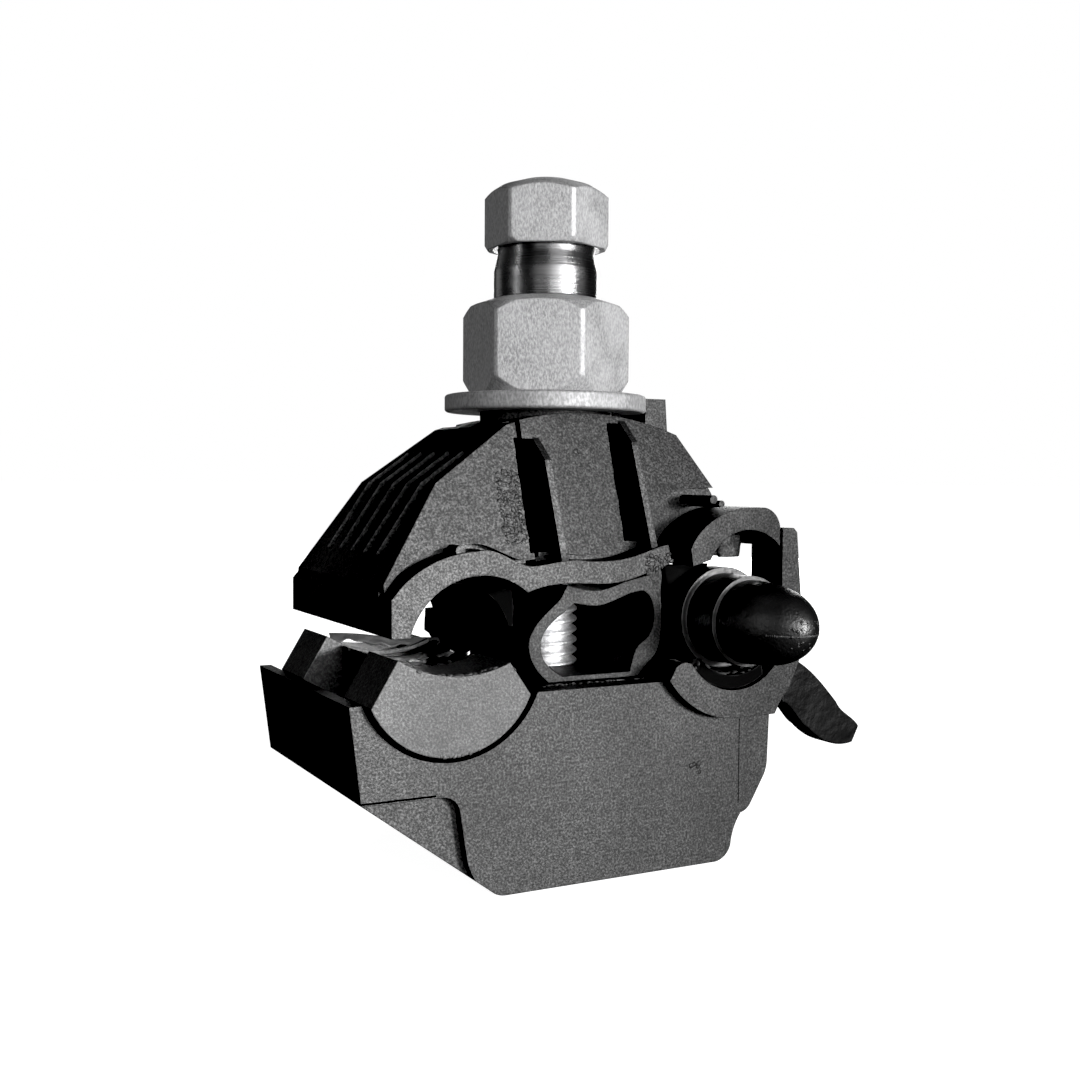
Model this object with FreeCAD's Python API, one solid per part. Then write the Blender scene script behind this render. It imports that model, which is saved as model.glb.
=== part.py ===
import FreeCAD, Part
import math
import os

# Insulation piercing connector with its jaws open. All sizes are in millimetres.
# X runs across the two cable grooves, Y runs along the cables, Z runs up the clamping bolt.
# The origin is where the bolt axis meets the flat underside of the lower body.

# Clamping bolt, head down in the lower body
bolt_radius = 4.0
bolt_top = 63.5
bolt_head_across_flats = 13.0
bolt_head_height = 5.3
bolt_head_chamfer = 0.6
bolt_end_chamfer = 0.9
head_pocket_play = 0.2
bolt_hole_radius = bolt_radius + 0.4
thread_play = 0.08

# Flat washer
washer_radius = 12.0
washer_hole_radius = bolt_radius + 0.3
washer_thickness = 2.0
washer_edge_round = 0.35
washer_face_play = 0.1

# Shear nut: clamping hexagon, neck that breaks at the set torque, driving hexagon
nut_corner_angle = 27.0
hex_corner_trim = 0.14
lower_hex_across_flats = 17.4
lower_hex_height = 11.2
lower_hex_foot_radius = lower_hex_across_flats / 2 + 0.2
lower_hex_foot_height = 1.7
lower_hex_corner_drop = 2.0
lower_hex_crown_drop = 0.9
neck_radius = 6.2
neck_height = 5.9
shear_groove_depth = 0.45
shear_groove_height = 2.6
upper_hex_across_flats = 13.0
upper_hex_height = 8.0
upper_hex_foot_radius = upper_hex_across_flats / 2 + 0.5
upper_hex_foot_height = 0.6
upper_hex_crown_radius = 3.2
upper_hex_crown_height = 1.9
blind_bore_roof = 4.6

# Lower body
body_half_depth = 16.0
jaw_line_height = 21.5
keel_left = -12.9
keel_right = 14.2
keel_block_right = 18.7
flank_right = 23.25
flank_foot_height = 4.7
flank_half_depth = 14.0
corner_pocket_depth = 1.3
corner_pocket_top = 11.25
left_wall = 0.55
left_wall_lean = 1.3

# Main groove in the lower jaw
main_trough_x = -19.05
main_trough_rise = 4.0
main_trough_radius = 10.7
main_cradle_radius = main_trough_radius - 0.95
main_seat_x = -18.3
main_seat_bottom_rise = 2.45
main_seat_radius = 12.35
main_cradle_overhang = 1.5
main_front_cradle_length = 8.3
main_rear_cradle_length = 8.4
main_pad_gap = 0.2
main_pad_sag = 0.35
main_pad_groove_depth = 0.55
main_pad_groove_width = 1.0
seal_play = 0.12

# Tap groove in the lower jaw
tap_trough_x = 15.7
tap_trough_rise = 6.2
tap_trough_radius = 10.95
tap_shelf_rise = 0.1
tap_cradle_radius = tap_trough_radius - 0.15
tap_cradle_seat_radius = 7.2
tap_cradle_overhang = 1.5
tap_cradle_length = 5.9
tap_post_inner = 22.1
tap_post_foot_width = 2.9
tap_post_top_width = 2.1
tap_post_height = 21.75
cable_rest_x = 15.9
cable_rest_rise = 6.7
tap_pad_radius = 6.1
tap_pad_end_play = 0.3
tap_tongue_overhang = 1.0
tap_tongue_radius = tap_pad_radius + 0.35

# Upper body: heights are counted from its foot, the lower edge of its left wall
jaw_opening = 6.5
upper_wall_left = -26.0
eave_rise = 5.3
shoulder_x = -19.05
shoulder_rise = 15.6
roof_left_x = -10.1
roof_left_rise = 22.0
roof_right_x = 12.8
roof_right_rise = 21.4
roof_crest_rise = 23.7
right_slope_foot_x = 18.1
right_slope_foot_rise = 13.1
washer_seat_rise = 24.0
washer_boss_radius = 7.8

# Upper grooves
main_arch_x = -16.0
main_arch_drop = 2.2
main_arch_radius = 8.3
main_cable_x = -16.3
main_cable_drop = 1.7
upper_main_pad_radius = 6.5
upper_main_pad_half_length = 10.5
tap_arch_x = 17.3
tap_arch_rise = 4.5
tap_arch_radius = 5.95
tap_arch_play = 0.4
tap_arch_crown_rise = 13.0
upper_tap_pad_drop = 2.5
upper_tap_pad_right = 19.5

# Face panels, lip, ribs and slots of the upper body
panel_lean = 0.324
panel_half_depth = 13.3
panel_measured_rise = 8.0
left_panel_half_depth = 14.75
left_panel_lean = 0.345
left_panel_turn = 0.085
left_panel_edge = -9.0
panel_groove_width = 1.2
panel_groove_depth = 2.4
lip_half_depth = 16.5
lip_thickness = 5.5
lip_groove_width = 0.55
lip_groove_depth = 0.6
arch_half_depth = 17.5
arch_thickness = 8.2
tap_core_half_depth = 10.0
rib_places = (-6.1, 5.5)
rib_top_rises = (20.7, 22.9)
rib_thickness = 0.85
rib_foot_rise = 7.2
rib_half_depth = 16.4
rib_lean = 0.38
rib_chamfer_drop = 2.5
rib_root = 7.0
slot_count = 5
slot_pitch = 4.0
slot_width = 1.7
slot_depth = 2.4
slot_foot_rise = 8.0
slot_top_rise = 19.2

# Lug that keeps the washer from turning
lug_gap = 0.3
lug_thickness = 2.8
lug_flare = 0.8
lug_half_width = 4.0
lug_above_washer = 0.1
lug_foot_rise = 15.0

# Contact blades
blade_thickness = 1.6
blade_offset = 6.0
blade_play = 0.1
lower_blade_depth = 8.9
lower_blade_left = -22.0
lower_blade_right = 20.6
lower_blade_corner = 2.0
blade_bar_drop = 1.1
upper_blade_left = -22.6
upper_blade_root_rise = 6.2
blade_crown_rise = 13.4
tooth_height = 1.3
tooth_reach_back = 0.35
lower_main_tooth_count = 6
upper_main_tooth_count = 7
tap_tooth_count = 5
upper_tap_tooth_pitch = 1.3

# Jaw spreader
spreader_half_depth = body_half_depth - 4.0
spreader_wall = 1.6
spreader_floor = 0.6
spreader_play = 0.1
spreader_height = 10.8
spreader_left = -8.2
spreader_right = 9.0

# End cap and the free end of its strap
cap_collar_radius = tap_pad_radius - 0.25
cap_shoulder_radius = cap_collar_radius - 0.7
cap_nose_radius = 4.7
cap_bore_radius = 3.7
cap_end_play = 0.9
cap_collar_length = 2.4
cap_shoulder_length = 5.0
cap_nose_length = 10.2
cap_bore_depth = 12.8
strap_front = body_half_depth + 0.2
strap_width = 3.0
strap_root_x = 23.4
strap_root_rise = 2.05
strap_reach = 11.9
strap_thickness = 2.1

# Levels and groove centres that follow from the sizes above
upper_foot_height = jaw_line_height + jaw_opening
blade_foot_height = jaw_line_height - lower_blade_depth
blade_bar_height = jaw_line_height - blade_bar_drop
washer_seat_height = upper_foot_height + washer_seat_rise
main_trough_axis = (main_trough_x, jaw_line_height + main_trough_rise)
main_cradle_axis = (main_trough_x - 0.65, main_trough_axis[1] - 0.1)
main_seat_axis = (main_seat_x, jaw_line_height + main_seat_bottom_rise + main_seat_radius)
tap_trough_axis = (tap_trough_x, jaw_line_height + tap_trough_rise)
tap_shelf_height = tap_trough_axis[1] - tap_trough_radius + tap_shelf_rise
tap_cradle_seat_axis = (tap_trough_x, tap_trough_axis[1] - 0.4)
cable_rest_axis = (cable_rest_x, jaw_line_height + cable_rest_rise)
main_arch_axis = (main_arch_x, upper_foot_height - main_arch_drop)
main_cable_axis = (main_cable_x, upper_foot_height - main_cable_drop)
tap_arch_axis = (tap_arch_x, upper_foot_height + tap_arch_rise)
tap_arch_right = tap_post_inner - tap_arch_play
upper_tap_pad_underside = tap_arch_axis[1] + upper_tap_pad_drop
lower_tap_pad_half_length = body_half_depth + tap_cradle_overhang - tap_cradle_length - tap_pad_end_play
cap_back = -(lower_tap_pad_half_length + cap_end_play)


def above_foot(x, rise):
    """Point of the upper body, its height counted from the foot."""
    return (x, upper_foot_height + rise)


def edge_chain(start, steps):
    """Edges in the XZ plane: a point is a straight step, ((mid), (end)) an arc, a list a smooth curve."""
    edges = []
    here = FreeCAD.Vector(start[0], 0, start[1])
    for step in steps:
        if isinstance(step, list):
            points = [here] + [FreeCAD.Vector(x, 0, z) for x, z in step]
            curve = Part.BSplineCurve()
            curve.interpolate(points)
            edges.append(curve.toShape())
            here = points[-1]
        elif isinstance(step[0], tuple):
            middle = FreeCAD.Vector(step[0][0], 0, step[0][1])
            end = FreeCAD.Vector(step[1][0], 0, step[1][1])
            edges.append(Part.Arc(here, middle, end).toShape())
            here = end
        else:
            end = FreeCAD.Vector(step[0], 0, step[1])
            edges.append(Part.makeLine(here, end))
            here = end
    first = FreeCAD.Vector(start[0], 0, start[1])
    if here.distanceToPoint(first) > 1e-6:
        edges.append(Part.makeLine(here, first))
    return edges


def prism(start, steps, y_from, y_to):
    """Solid with a closed outline in XZ, running from y_from to y_to."""
    face = Part.Face(Part.Wire(edge_chain(start, steps)))
    face.translate(FreeCAD.Vector(0, y_from, 0))
    return face.extrude(FreeCAD.Vector(0, y_to - y_from, 0))


def box(x_from, x_to, y_from, y_to, z_from, z_to):
    corner = FreeCAD.Vector(x_from, y_from, z_from)
    return Part.makeBox(x_to - x_from, y_to - y_from, z_to - z_from, corner)


def along_y(axis, radius, y_from, y_to):
    """Round bar along Y about the point axis in XZ."""
    base = FreeCAD.Vector(axis[0], y_from, axis[1])
    return Part.makeCylinder(radius, y_to - y_from, base, FreeCAD.Vector(0, 1, 0))


def upright(radius, z_from, z_to):
    """Round bar up the bolt axis."""
    return Part.makeCylinder(radius, z_to - z_from, FreeCAD.Vector(0, 0, z_from))


def on_circle(axis, radius, degrees):
    turn = math.radians(degrees)
    return (axis[0] + radius * math.cos(turn), axis[1] + radius * math.sin(turn))


def hexagon_bar(across_flats, z_from, z_to, corner_angle):
    corner_radius = across_flats / math.sqrt(3)
    corners = []
    for index in range(7):
        turn = math.radians(corner_angle + 60 * index)
        x = corner_radius * math.cos(turn)
        y = corner_radius * math.sin(turn)
        corners.append(FreeCAD.Vector(x, y, z_from))
    face = Part.Face(Part.makePolygon(corners))
    return face.extrude(FreeCAD.Vector(0, 0, z_to - z_from))


def turned(points):
    """Solid of revolution about the bolt axis from (radius, height) points."""
    corners = [FreeCAD.Vector(radius, 0, height) for radius, height in points]
    face = Part.Face(Part.makePolygon(corners + [corners[0]]))
    return face.revolve(FreeCAD.Vector(0, 0, 0), FreeCAD.Vector(0, 0, 1), 360)


def mirrored_front_to_back(shape):
    return shape.mirror(FreeCAD.Vector(0, 0, 0), FreeCAD.Vector(0, 1, 0))


def both_ends(shape):
    return shape.fuse(mirrored_front_to_back(shape))


def clamp_bolt():
    """Hexagon bolt held head down in the lower body; its thread is shown in the finish."""
    corner_radius = bolt_head_across_flats / math.sqrt(3)
    head = hexagon_bar(bolt_head_across_flats, 0, bolt_head_height, 30.0)
    crown = turned([
        (0, 0),
        (bolt_head_across_flats / 2 - 0.2, 0),
        (corner_radius + 0.1, bolt_head_chamfer),
        (corner_radius + 0.1, bolt_head_height),
        (0, bolt_head_height),
    ])
    shank = turned([
        (0, bolt_head_height - 0.5),
        (bolt_radius, bolt_head_height - 0.5),
        (bolt_radius, bolt_top - bolt_end_chamfer),
        (bolt_radius - bolt_end_chamfer, bolt_top),
        (0, bolt_top),
    ])
    return head.common(crown).fuse(shank)


def shear_nut():
    """Clamping hexagon, shear neck and driving hexagon in one turned and milled piece."""
    foot = washer_seat_height + washer_thickness + washer_face_play
    hex_top = foot + lower_hex_height
    neck_top = hex_top + neck_height
    head_top = neck_top + upper_hex_height
    lower_corner = lower_hex_across_flats / math.sqrt(3) - hex_corner_trim
    upper_corner = upper_hex_across_flats / math.sqrt(3) - hex_corner_trim
    groove_radius = neck_radius - shear_groove_depth
    lower_limit = turned([
        (0, foot),
        (lower_hex_foot_radius, foot),
        (lower_corner, foot + lower_hex_foot_height),
        (lower_corner, hex_top - lower_hex_corner_drop),
        (lower_corner - 0.9, hex_top - lower_hex_crown_drop),
        (neck_radius + 0.2, hex_top),
        (0, hex_top),
    ])
    upper_limit = turned([
        (0, neck_top),
        (upper_hex_foot_radius, neck_top),
        (upper_corner, neck_top + upper_hex_foot_height),
        (upper_corner, head_top - upper_hex_crown_height),
        (upper_hex_crown_radius + 2.4, head_top - 0.4 * upper_hex_crown_height),
        (upper_hex_crown_radius, head_top),
        (0, head_top),
    ])
    lower = hexagon_bar(lower_hex_across_flats, foot, hex_top, nut_corner_angle).common(lower_limit)
    upper = hexagon_bar(upper_hex_across_flats, neck_top, head_top, nut_corner_angle).common(upper_limit)
    neck = turned([
        (0, hex_top - 0.2),
        (neck_radius, hex_top - 0.2),
        (neck_radius, neck_top - shear_groove_height),
        (groove_radius + 0.15, neck_top - shear_groove_height / 2),
        (groove_radius, neck_top - shear_groove_height / 4),
        (groove_radius, neck_top + 0.2),
        (0, neck_top + 0.2),
    ])
    bore = upright(bolt_radius + thread_play, foot - 1, head_top - blind_bore_roof)
    mouth = Part.makeCone(bolt_radius + 0.7, bolt_radius, 0.7, FreeCAD.Vector(0, 0, foot))
    return lower.fuse([neck, upper]).cut(bore).cut(mouth).removeSplitter()


def flat_washer():
    top = washer_seat_height + washer_thickness
    ring = upright(washer_radius, washer_seat_height, top)
    ring = ring.cut(upright(washer_hole_radius, washer_seat_height - 1, top + 1))
    rim_length = 2 * math.pi * washer_radius
    rim = [edge for edge in ring.Edges if abs(edge.Length - rim_length) < 0.01]
    return ring.makeFillet(washer_edge_round, rim)


def tooth_line(axis, tip_radius, start_angle, end_angle, count):
    """Zigzag of piercing teeth round a groove, tips on tip_radius, roots further out."""
    points = []
    step = (end_angle - start_angle) / count
    for index in range(count):
        root = start_angle + step * index
        points.append(on_circle(axis, tip_radius + tooth_height, root))
        points.append(on_circle(axis, tip_radius, root + step / 2))
    points.append(on_circle(axis, tip_radius + tooth_height, end_angle))
    return points


def lower_main_teeth():
    tips = main_seat_radius + main_pad_sag + tooth_reach_back - 0.2
    roots = tips + tooth_height
    first = 180 + math.degrees(math.acos((main_seat_x - lower_blade_left) / roots))
    return tooth_line(main_seat_axis, tips, first, 288, lower_main_tooth_count)


def lower_blade_foot():
    """Foot of the lower blade from its right side to its left, with cut corners."""
    foot = blade_foot_height
    return [
        (lower_blade_right, foot + lower_blade_corner),
        (lower_blade_right - lower_blade_corner, foot),
        (lower_blade_left + lower_blade_corner, foot),
        (lower_blade_left, foot + lower_blade_corner),
    ]


def lower_blade_outline():
    """Blade under both grooves: teeth, a bar between them and a foot with cut corners."""
    main_teeth = lower_main_teeth()
    tap_tips = tap_pad_radius + tooth_reach_back
    tap_teeth = tooth_line(cable_rest_axis, tap_tips, 222, 304, tap_tooth_count)
    bar = [(main_teeth[-1][0] + 2.0, blade_bar_height), (tap_trough_x - 8.3, blade_bar_height)]
    steps = main_teeth[1:] + bar + tap_teeth + [(lower_blade_right, tap_teeth[-1][1] - 2.5)]
    return main_teeth[0], steps + lower_blade_foot()


def upper_blade_outline():
    """Blade over both grooves, with its back bent to stay inside the roof."""
    main_tips = upper_main_pad_radius + tooth_reach_back
    main_teeth = tooth_line(main_cable_axis, main_tips, 142, 50, upper_main_tooth_count)
    start = above_foot(upper_blade_left, upper_blade_root_rise)
    tap_tip = upper_tap_pad_underside + tooth_reach_back
    tap_root = tap_tip + tooth_height
    first_tooth = upper_tap_pad_right - 0.6 - upper_tap_tooth_pitch * tap_tooth_count
    tap_teeth = []
    for index in range(tap_tooth_count):
        left = first_tooth + upper_tap_tooth_pitch * index
        tap_teeth.append((left, tap_root))
        tap_teeth.append((left + upper_tap_tooth_pitch / 2, tap_tip))
    tap_teeth.append((upper_tap_pad_right - 0.6, tap_root))
    steps = main_teeth + [above_foot(-9.4, 6.4), above_foot(7.4, 8.4)] + tap_teeth + [
        (upper_tap_pad_right - 0.6, upper_foot_height + blade_crown_rise - 2.1),
        above_foot(12.6, blade_crown_rise - 2.1),
        above_foot(10.4, blade_crown_rise),
        above_foot(-14.2, blade_crown_rise),
        above_foot(-18.4, blade_crown_rise - 2.5),
    ]
    return start, steps


def blade_at(outline, y_middle, play=0.0):
    half = blade_thickness / 2 + play
    start, steps = outline
    return prism(start, steps, y_middle - half, y_middle + half)


def lower_blade_slot(y_middle):
    """Slot in the lower parts for one blade, open at the top."""
    half = blade_thickness / 2 + blade_play
    left = lower_blade_left - blade_play
    right = lower_blade_right + blade_play
    opening = jaw_line_height + 8.5
    steps = [(right, opening)] + lower_blade_foot() + [(left, blade_foot_height + lower_blade_corner)]
    return prism((left, opening), steps, y_middle - half, y_middle + half)


def main_pad_blade_slot(y_middle):
    """Slot in the main pad: open over the teeth, closed over the bar so that the pad stays whole."""
    half = blade_thickness / 2 + blade_play
    left = lower_blade_left - blade_play
    last_root = lower_main_teeth()[-1]
    right = last_root[0] + 5 * blade_play
    over_teeth = box(left, right, y_middle - half, y_middle + half, 0.0, jaw_line_height + 8.5)
    under_bar = box(right - 0.1, 0.0, y_middle - half, y_middle + half, 0.0, last_root[1] - 4 * blade_play)
    return over_teeth.fuse(under_bar)


def upper_blade_slot(y_middle):
    """Slot in the upper parts for one blade, open at the bottom."""
    half = blade_thickness / 2 + blade_play
    left = upper_blade_left - 3 * blade_play
    right = upper_tap_pad_right - 0.4
    steps = [
        above_foot(left, upper_blade_root_rise),
        above_foot(-18.4, blade_crown_rise - 2.5),
        above_foot(-14.2, blade_crown_rise),
        above_foot(10.4, blade_crown_rise),
        above_foot(12.6, blade_crown_rise - 2.1),
        above_foot(right, blade_crown_rise - 2.1),
        above_foot(right, 0.0),
    ]
    return prism(above_foot(left, 0.0), steps, y_middle - half, y_middle + half)


def keel_block():
    """Deep front part of the lower body, from the thin left wall to the rounded keel."""
    left = main_trough_x - main_trough_radius - left_wall
    return prism(
        (left, jaw_line_height - 0.1),
        [
            (left + left_wall_lean, corner_pocket_top + 0.05),
            (keel_left - 1.6, 0.6),
            ((keel_left - 0.8, 0.15), (keel_left, 0.0)),
            (keel_right, 0.0),
            ((keel_right + 1.2, 0.45), (keel_right + 2.1, 1.7)),
            [(keel_right + 2.7, 4.0), (keel_right + 3.7, 5.6)],
            (keel_block_right, tap_shelf_height),
            (keel_block_right, jaw_line_height),
        ],
        -body_half_depth,
        body_half_depth,
    )


def right_flank():
    """Set-back flank that carries the tap groove."""
    foot = flank_foot_height
    return prism(
        (10.0, foot - 1.7),
        [
            (flank_right - 6.75, foot - 0.3),
            (flank_right - 4.15, foot),
            ((flank_right - 3.15, foot + 0.4), (flank_right - 2.55, foot + 1.1)),
            (flank_right - 0.95, foot + 3.8),
            ((flank_right - 0.45, foot + 4.8), (flank_right - 0.25, foot + 5.9)),
            (flank_right, tap_shelf_height),
            (10.0, tap_shelf_height),
        ],
        -flank_half_depth,
        flank_half_depth,
    )


def corner_pocket():
    """Shallow step in the lower left corner of the face, with a rounded inner corner."""
    return prism(
        (keel_left - 19.1, corner_pocket_top),
        [
            (keel_left - 7.3, corner_pocket_top),
            ((keel_left - 6.0, corner_pocket_top - 0.45), (keel_left - 5.3, corner_pocket_top - 1.65)),
            (keel_left - 4.6, 5.2),
            [(keel_left - 4.0, 3.0), (keel_left - 2.8, 1.0), (keel_left - 1.5, -0.5)],
            (keel_left - 19.1, -0.5),
        ],
        -body_half_depth - 1,
        -body_half_depth + corner_pocket_depth,
    )


def tap_trough():
    """Room for the tap cradles and their lining, open to the right above the shelf."""
    return prism(
        (tap_trough_x - tap_trough_radius + 1.9, jaw_line_height + 1),
        [
            on_circle(tap_trough_axis, tap_trough_radius, 214.5),
            (
                on_circle(tap_trough_axis, tap_trough_radius, 242),
                (tap_trough_x, tap_shelf_height),
            ),
            (flank_right + 2, tap_shelf_height),
            (flank_right + 2, jaw_line_height + 1),
        ],
        -body_half_depth - 1,
        body_half_depth + 1,
    )


def lower_body():
    """Lower jaw moulding: keel, set-back right flank, two troughs and the bolt pocket."""
    body = keel_block().fuse(right_flank()).cut(both_ends(corner_pocket()))
    y = body_half_depth + 1
    body = body.cut(along_y(main_trough_axis, main_trough_radius, -y, y))
    body = body.cut(tap_trough())
    body = body.cut(upright(bolt_hole_radius, -1, jaw_line_height + 1))
    pocket_flats = bolt_head_across_flats + 2 * head_pocket_play
    body = body.cut(hexagon_bar(pocket_flats, -1, bolt_head_height, 30.0))
    for side in (-1, 1):
        body = body.cut(lower_blade_slot(side * blade_offset))
    return body.removeSplitter()


def main_cradle(y_from, y_to):
    """Elastomer cradle of the main groove: round belly, hollow seat, slanted cheeks."""
    belly = along_y(main_cradle_axis, main_cradle_radius, y_from, y_to)
    left = main_cradle_axis[0] - main_cradle_radius
    seat_bottom = (main_seat_x, main_seat_axis[1] - main_seat_radius)
    seat_right_x = main_seat_x + 5.1
    seat_right_z = main_seat_axis[1] - math.sqrt(main_seat_radius ** 2 - 5.1 ** 2)
    cheeks = prism(
        (left + 0.75, jaw_line_height - 0.5),
        [
            (main_seat_x - 7.4, seat_bottom[1] + 2.05),
            (seat_bottom, (seat_right_x, seat_right_z)),
            (seat_right_x + 2.4, jaw_line_height + 0.1),
            (seat_right_x + 3.2, jaw_line_height - 7.5),
            (left + 0.75, jaw_line_height - 7.5),
        ],
        y_from,
        y_to,
    )
    return belly.common(cheeks)


def main_front_cradle():
    front = -(body_half_depth + main_cradle_overhang)
    cradle = main_cradle(front, front + main_front_cradle_length)
    return cradle.cut(lower_blade_slot(-blade_offset))


def main_rear_cradle():
    back = body_half_depth - 3.2
    cradle = main_cradle(back - main_rear_cradle_length, back)
    return cradle.cut(lower_blade_slot(blade_offset))


def lower_main_pad():
    """Greased sealing pad between the two main cradles, slotted for the front lower blade."""
    low = -(body_half_depth + main_cradle_overhang) + main_front_cradle_length + main_pad_gap
    high = body_half_depth - 3.2 - main_rear_cradle_length - main_pad_gap
    belly = along_y(main_trough_axis, main_trough_radius - seal_play, low, high)
    seat = along_y(main_seat_axis, main_seat_radius + main_pad_sag, low - 1, high + 1)
    window = box(main_seat_x - 5.6, main_seat_x + 5.7, low, high, 0.0, jaw_line_height + 5.5)
    pad = belly.common(window).cut(seat)
    groove_radius = main_seat_radius + main_pad_sag + main_pad_groove_depth
    half = main_pad_groove_width / 2
    for groove_y in (low + 2.2, high - 2.2):
        pad = pad.cut(along_y(main_seat_axis, groove_radius, groove_y - half, groove_y + half))
    for side in (-1, 1):
        pad = pad.cut(main_pad_blade_slot(side * blade_offset))
    return pad


def tap_front_cradle():
    """Front cradle of the tap groove with the tall post that guides the upper body."""
    front = -(body_half_depth + tap_cradle_overhang)
    foot = tap_shelf_height
    post_outer_foot = tap_post_inner + tap_post_foot_width
    post_outer_top = tap_post_inner + tap_post_top_width
    post_top = foot + tap_post_height
    left_tip = on_circle(tap_trough_axis, tap_cradle_radius, 213.5)
    return prism(
        left_tip,
        [
            (
                on_circle(tap_trough_axis, tap_cradle_radius, 243),
                on_circle(tap_trough_axis, tap_cradle_radius, 272),
            ),
            (tap_trough_x + 1.9, foot + 0.05),
            (tap_post_inner - 0.8, foot + 0.1),
            (tap_post_inner - 0.1, foot + 1.35),
            (tap_post_inner + 1.4, foot + 3.25),
            (post_outer_foot - 0.2, foot + 6.15),
            (post_outer_foot, foot + 12.55),
            (post_outer_top, post_top - 0.5),
            (post_outer_top - 0.5, post_top),
            (tap_post_inner, post_top),
            (tap_post_inner, foot + 7.35),
            on_circle(tap_cradle_seat_axis, tap_cradle_seat_radius, 322),
            (
                on_circle(tap_cradle_seat_axis, tap_cradle_seat_radius, 270),
                on_circle(tap_cradle_seat_axis, tap_cradle_seat_radius, 212),
            ),
            ((left_tip[0] + 1.5, left_tip[1] + 1.86), (left_tip[0] + 0.8, left_tip[1] + 1.46)),
        ],
        front,
        front + tap_cradle_length,
    )


def tap_rear_cradle():
    return mirrored_front_to_back(tap_front_cradle())


def tap_gutter():
    """Middle length of the tap lining, slotted for both lower blades."""
    y = lower_tap_pad_half_length
    belly_radius = tap_trough_radius - seal_play
    gutter = prism(
        on_circle(tap_trough_axis, belly_radius, 216),
        [
            (
                on_circle(tap_trough_axis, belly_radius, 243),
                (tap_trough_x, tap_shelf_height + 0.05),
            ),
            (tap_post_inner - 0.7, tap_shelf_height + 0.05),
            (tap_post_inner - 0.5, tap_shelf_height + 7.45),
            on_circle(cable_rest_axis, tap_pad_radius, 326),
            (
                on_circle(cable_rest_axis, tap_pad_radius, 270),
                on_circle(cable_rest_axis, tap_pad_radius, 204),
            ),
            (cable_rest_x - 6.5, cable_rest_axis[1] - 3.0),
        ],
        -y,
        y,
    )
    for side in (-1, 1):
        gutter = gutter.cut(lower_blade_slot(side * blade_offset))
    return gutter


def lower_tap_pad():
    """Lining of the tap groove, with a tongue in the front cradle that carries the stored cap."""
    outer_radius = tap_cradle_seat_radius - seal_play
    front = -(body_half_depth + tap_tongue_overhang)
    tongue = prism(
        on_circle(tap_cradle_seat_axis, outer_radius, 222),
        [
            (
                on_circle(tap_cradle_seat_axis, outer_radius, 264),
                on_circle(tap_cradle_seat_axis, outer_radius, 306),
            ),
            on_circle(cable_rest_axis, tap_tongue_radius, 306),
            (
                on_circle(cable_rest_axis, tap_tongue_radius, 264),
                on_circle(cable_rest_axis, tap_tongue_radius, 222),
            ),
        ],
        front,
        -lower_tap_pad_half_length,
    )
    return tap_gutter().fuse(tongue).removeSplitter()


def groove_roof_steps():
    """Underside of the upper body from the tap arch to the foot, over the centre and the main groove."""
    return [
        above_foot(7.4, 6.9),
        [above_foot(x, rise) for x, rise in ((5.8, 6.3), (3.8, 5.7), (1.9, 5.15), (0.0, 4.85), (-3.0, 4.85))],
        [above_foot(-6.5, 4.95), above_foot(-9.3, 4.6), on_circle(main_arch_axis, main_arch_radius, 50)],
        (
            on_circle(main_arch_axis, main_arch_radius, 105),
            on_circle(main_arch_axis, main_arch_radius, 162),
        ),
        (on_circle(main_arch_axis, main_arch_radius, 162)[0], upper_foot_height),
    ]


def tap_arch_right_end():
    """Point where the tap arch meets the right side of the upper body."""
    run = tap_arch_right - tap_arch_x
    return (tap_arch_right, tap_arch_axis[1] + math.sqrt(tap_arch_radius ** 2 - run ** 2))


def upper_core():
    """Hipped block with its full front outline, before the faces are trimmed."""
    steps = [
        above_foot(upper_wall_left, eave_rise),
        above_foot(shoulder_x, shoulder_rise),
        above_foot(roof_left_x, roof_left_rise),
        (above_foot(0.9, roof_crest_rise), above_foot(roof_right_x, roof_right_rise)),
        above_foot(right_slope_foot_x, right_slope_foot_rise),
        above_foot(19.6, tap_arch_crown_rise),
        (
            above_foot(tap_arch_right - 0.6, tap_arch_crown_rise - 0.7),
            above_foot(tap_arch_right, tap_arch_crown_rise - 2.1),
        ),
        tap_arch_right_end(),
        (
            on_circle(tap_arch_axis, tap_arch_radius, 90),
            on_circle(tap_arch_axis, tap_arch_radius, 154),
        ),
    ]
    start = above_foot(upper_wall_left, 0.0)
    return prism(start, steps + groove_roof_steps(), -lip_half_depth, lip_half_depth)


def front_trim(lean, half_depth, turn, x_from, x_to):
    """Block in front of a leaning, slightly turned face panel of the upper body."""
    low = upper_foot_height - 1.0
    high = washer_seat_height + 8.0
    measured_height = upper_foot_height + panel_measured_rise

    def face_y(x, z):
        return -(half_depth - lean * (z - measured_height)) - turn * (x - left_panel_edge)

    sections = []
    for x in (x_from, x_to):
        points = [
            FreeCAD.Vector(x, face_y(x, low), low),
            FreeCAD.Vector(x, face_y(x, high), high),
            FreeCAD.Vector(x, -60, high),
            FreeCAD.Vector(x, -60, low),
        ]
        sections.append(Part.makePolygon(points + [points[0]]))
    return Part.makeLoft(sections, True, True)


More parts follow.
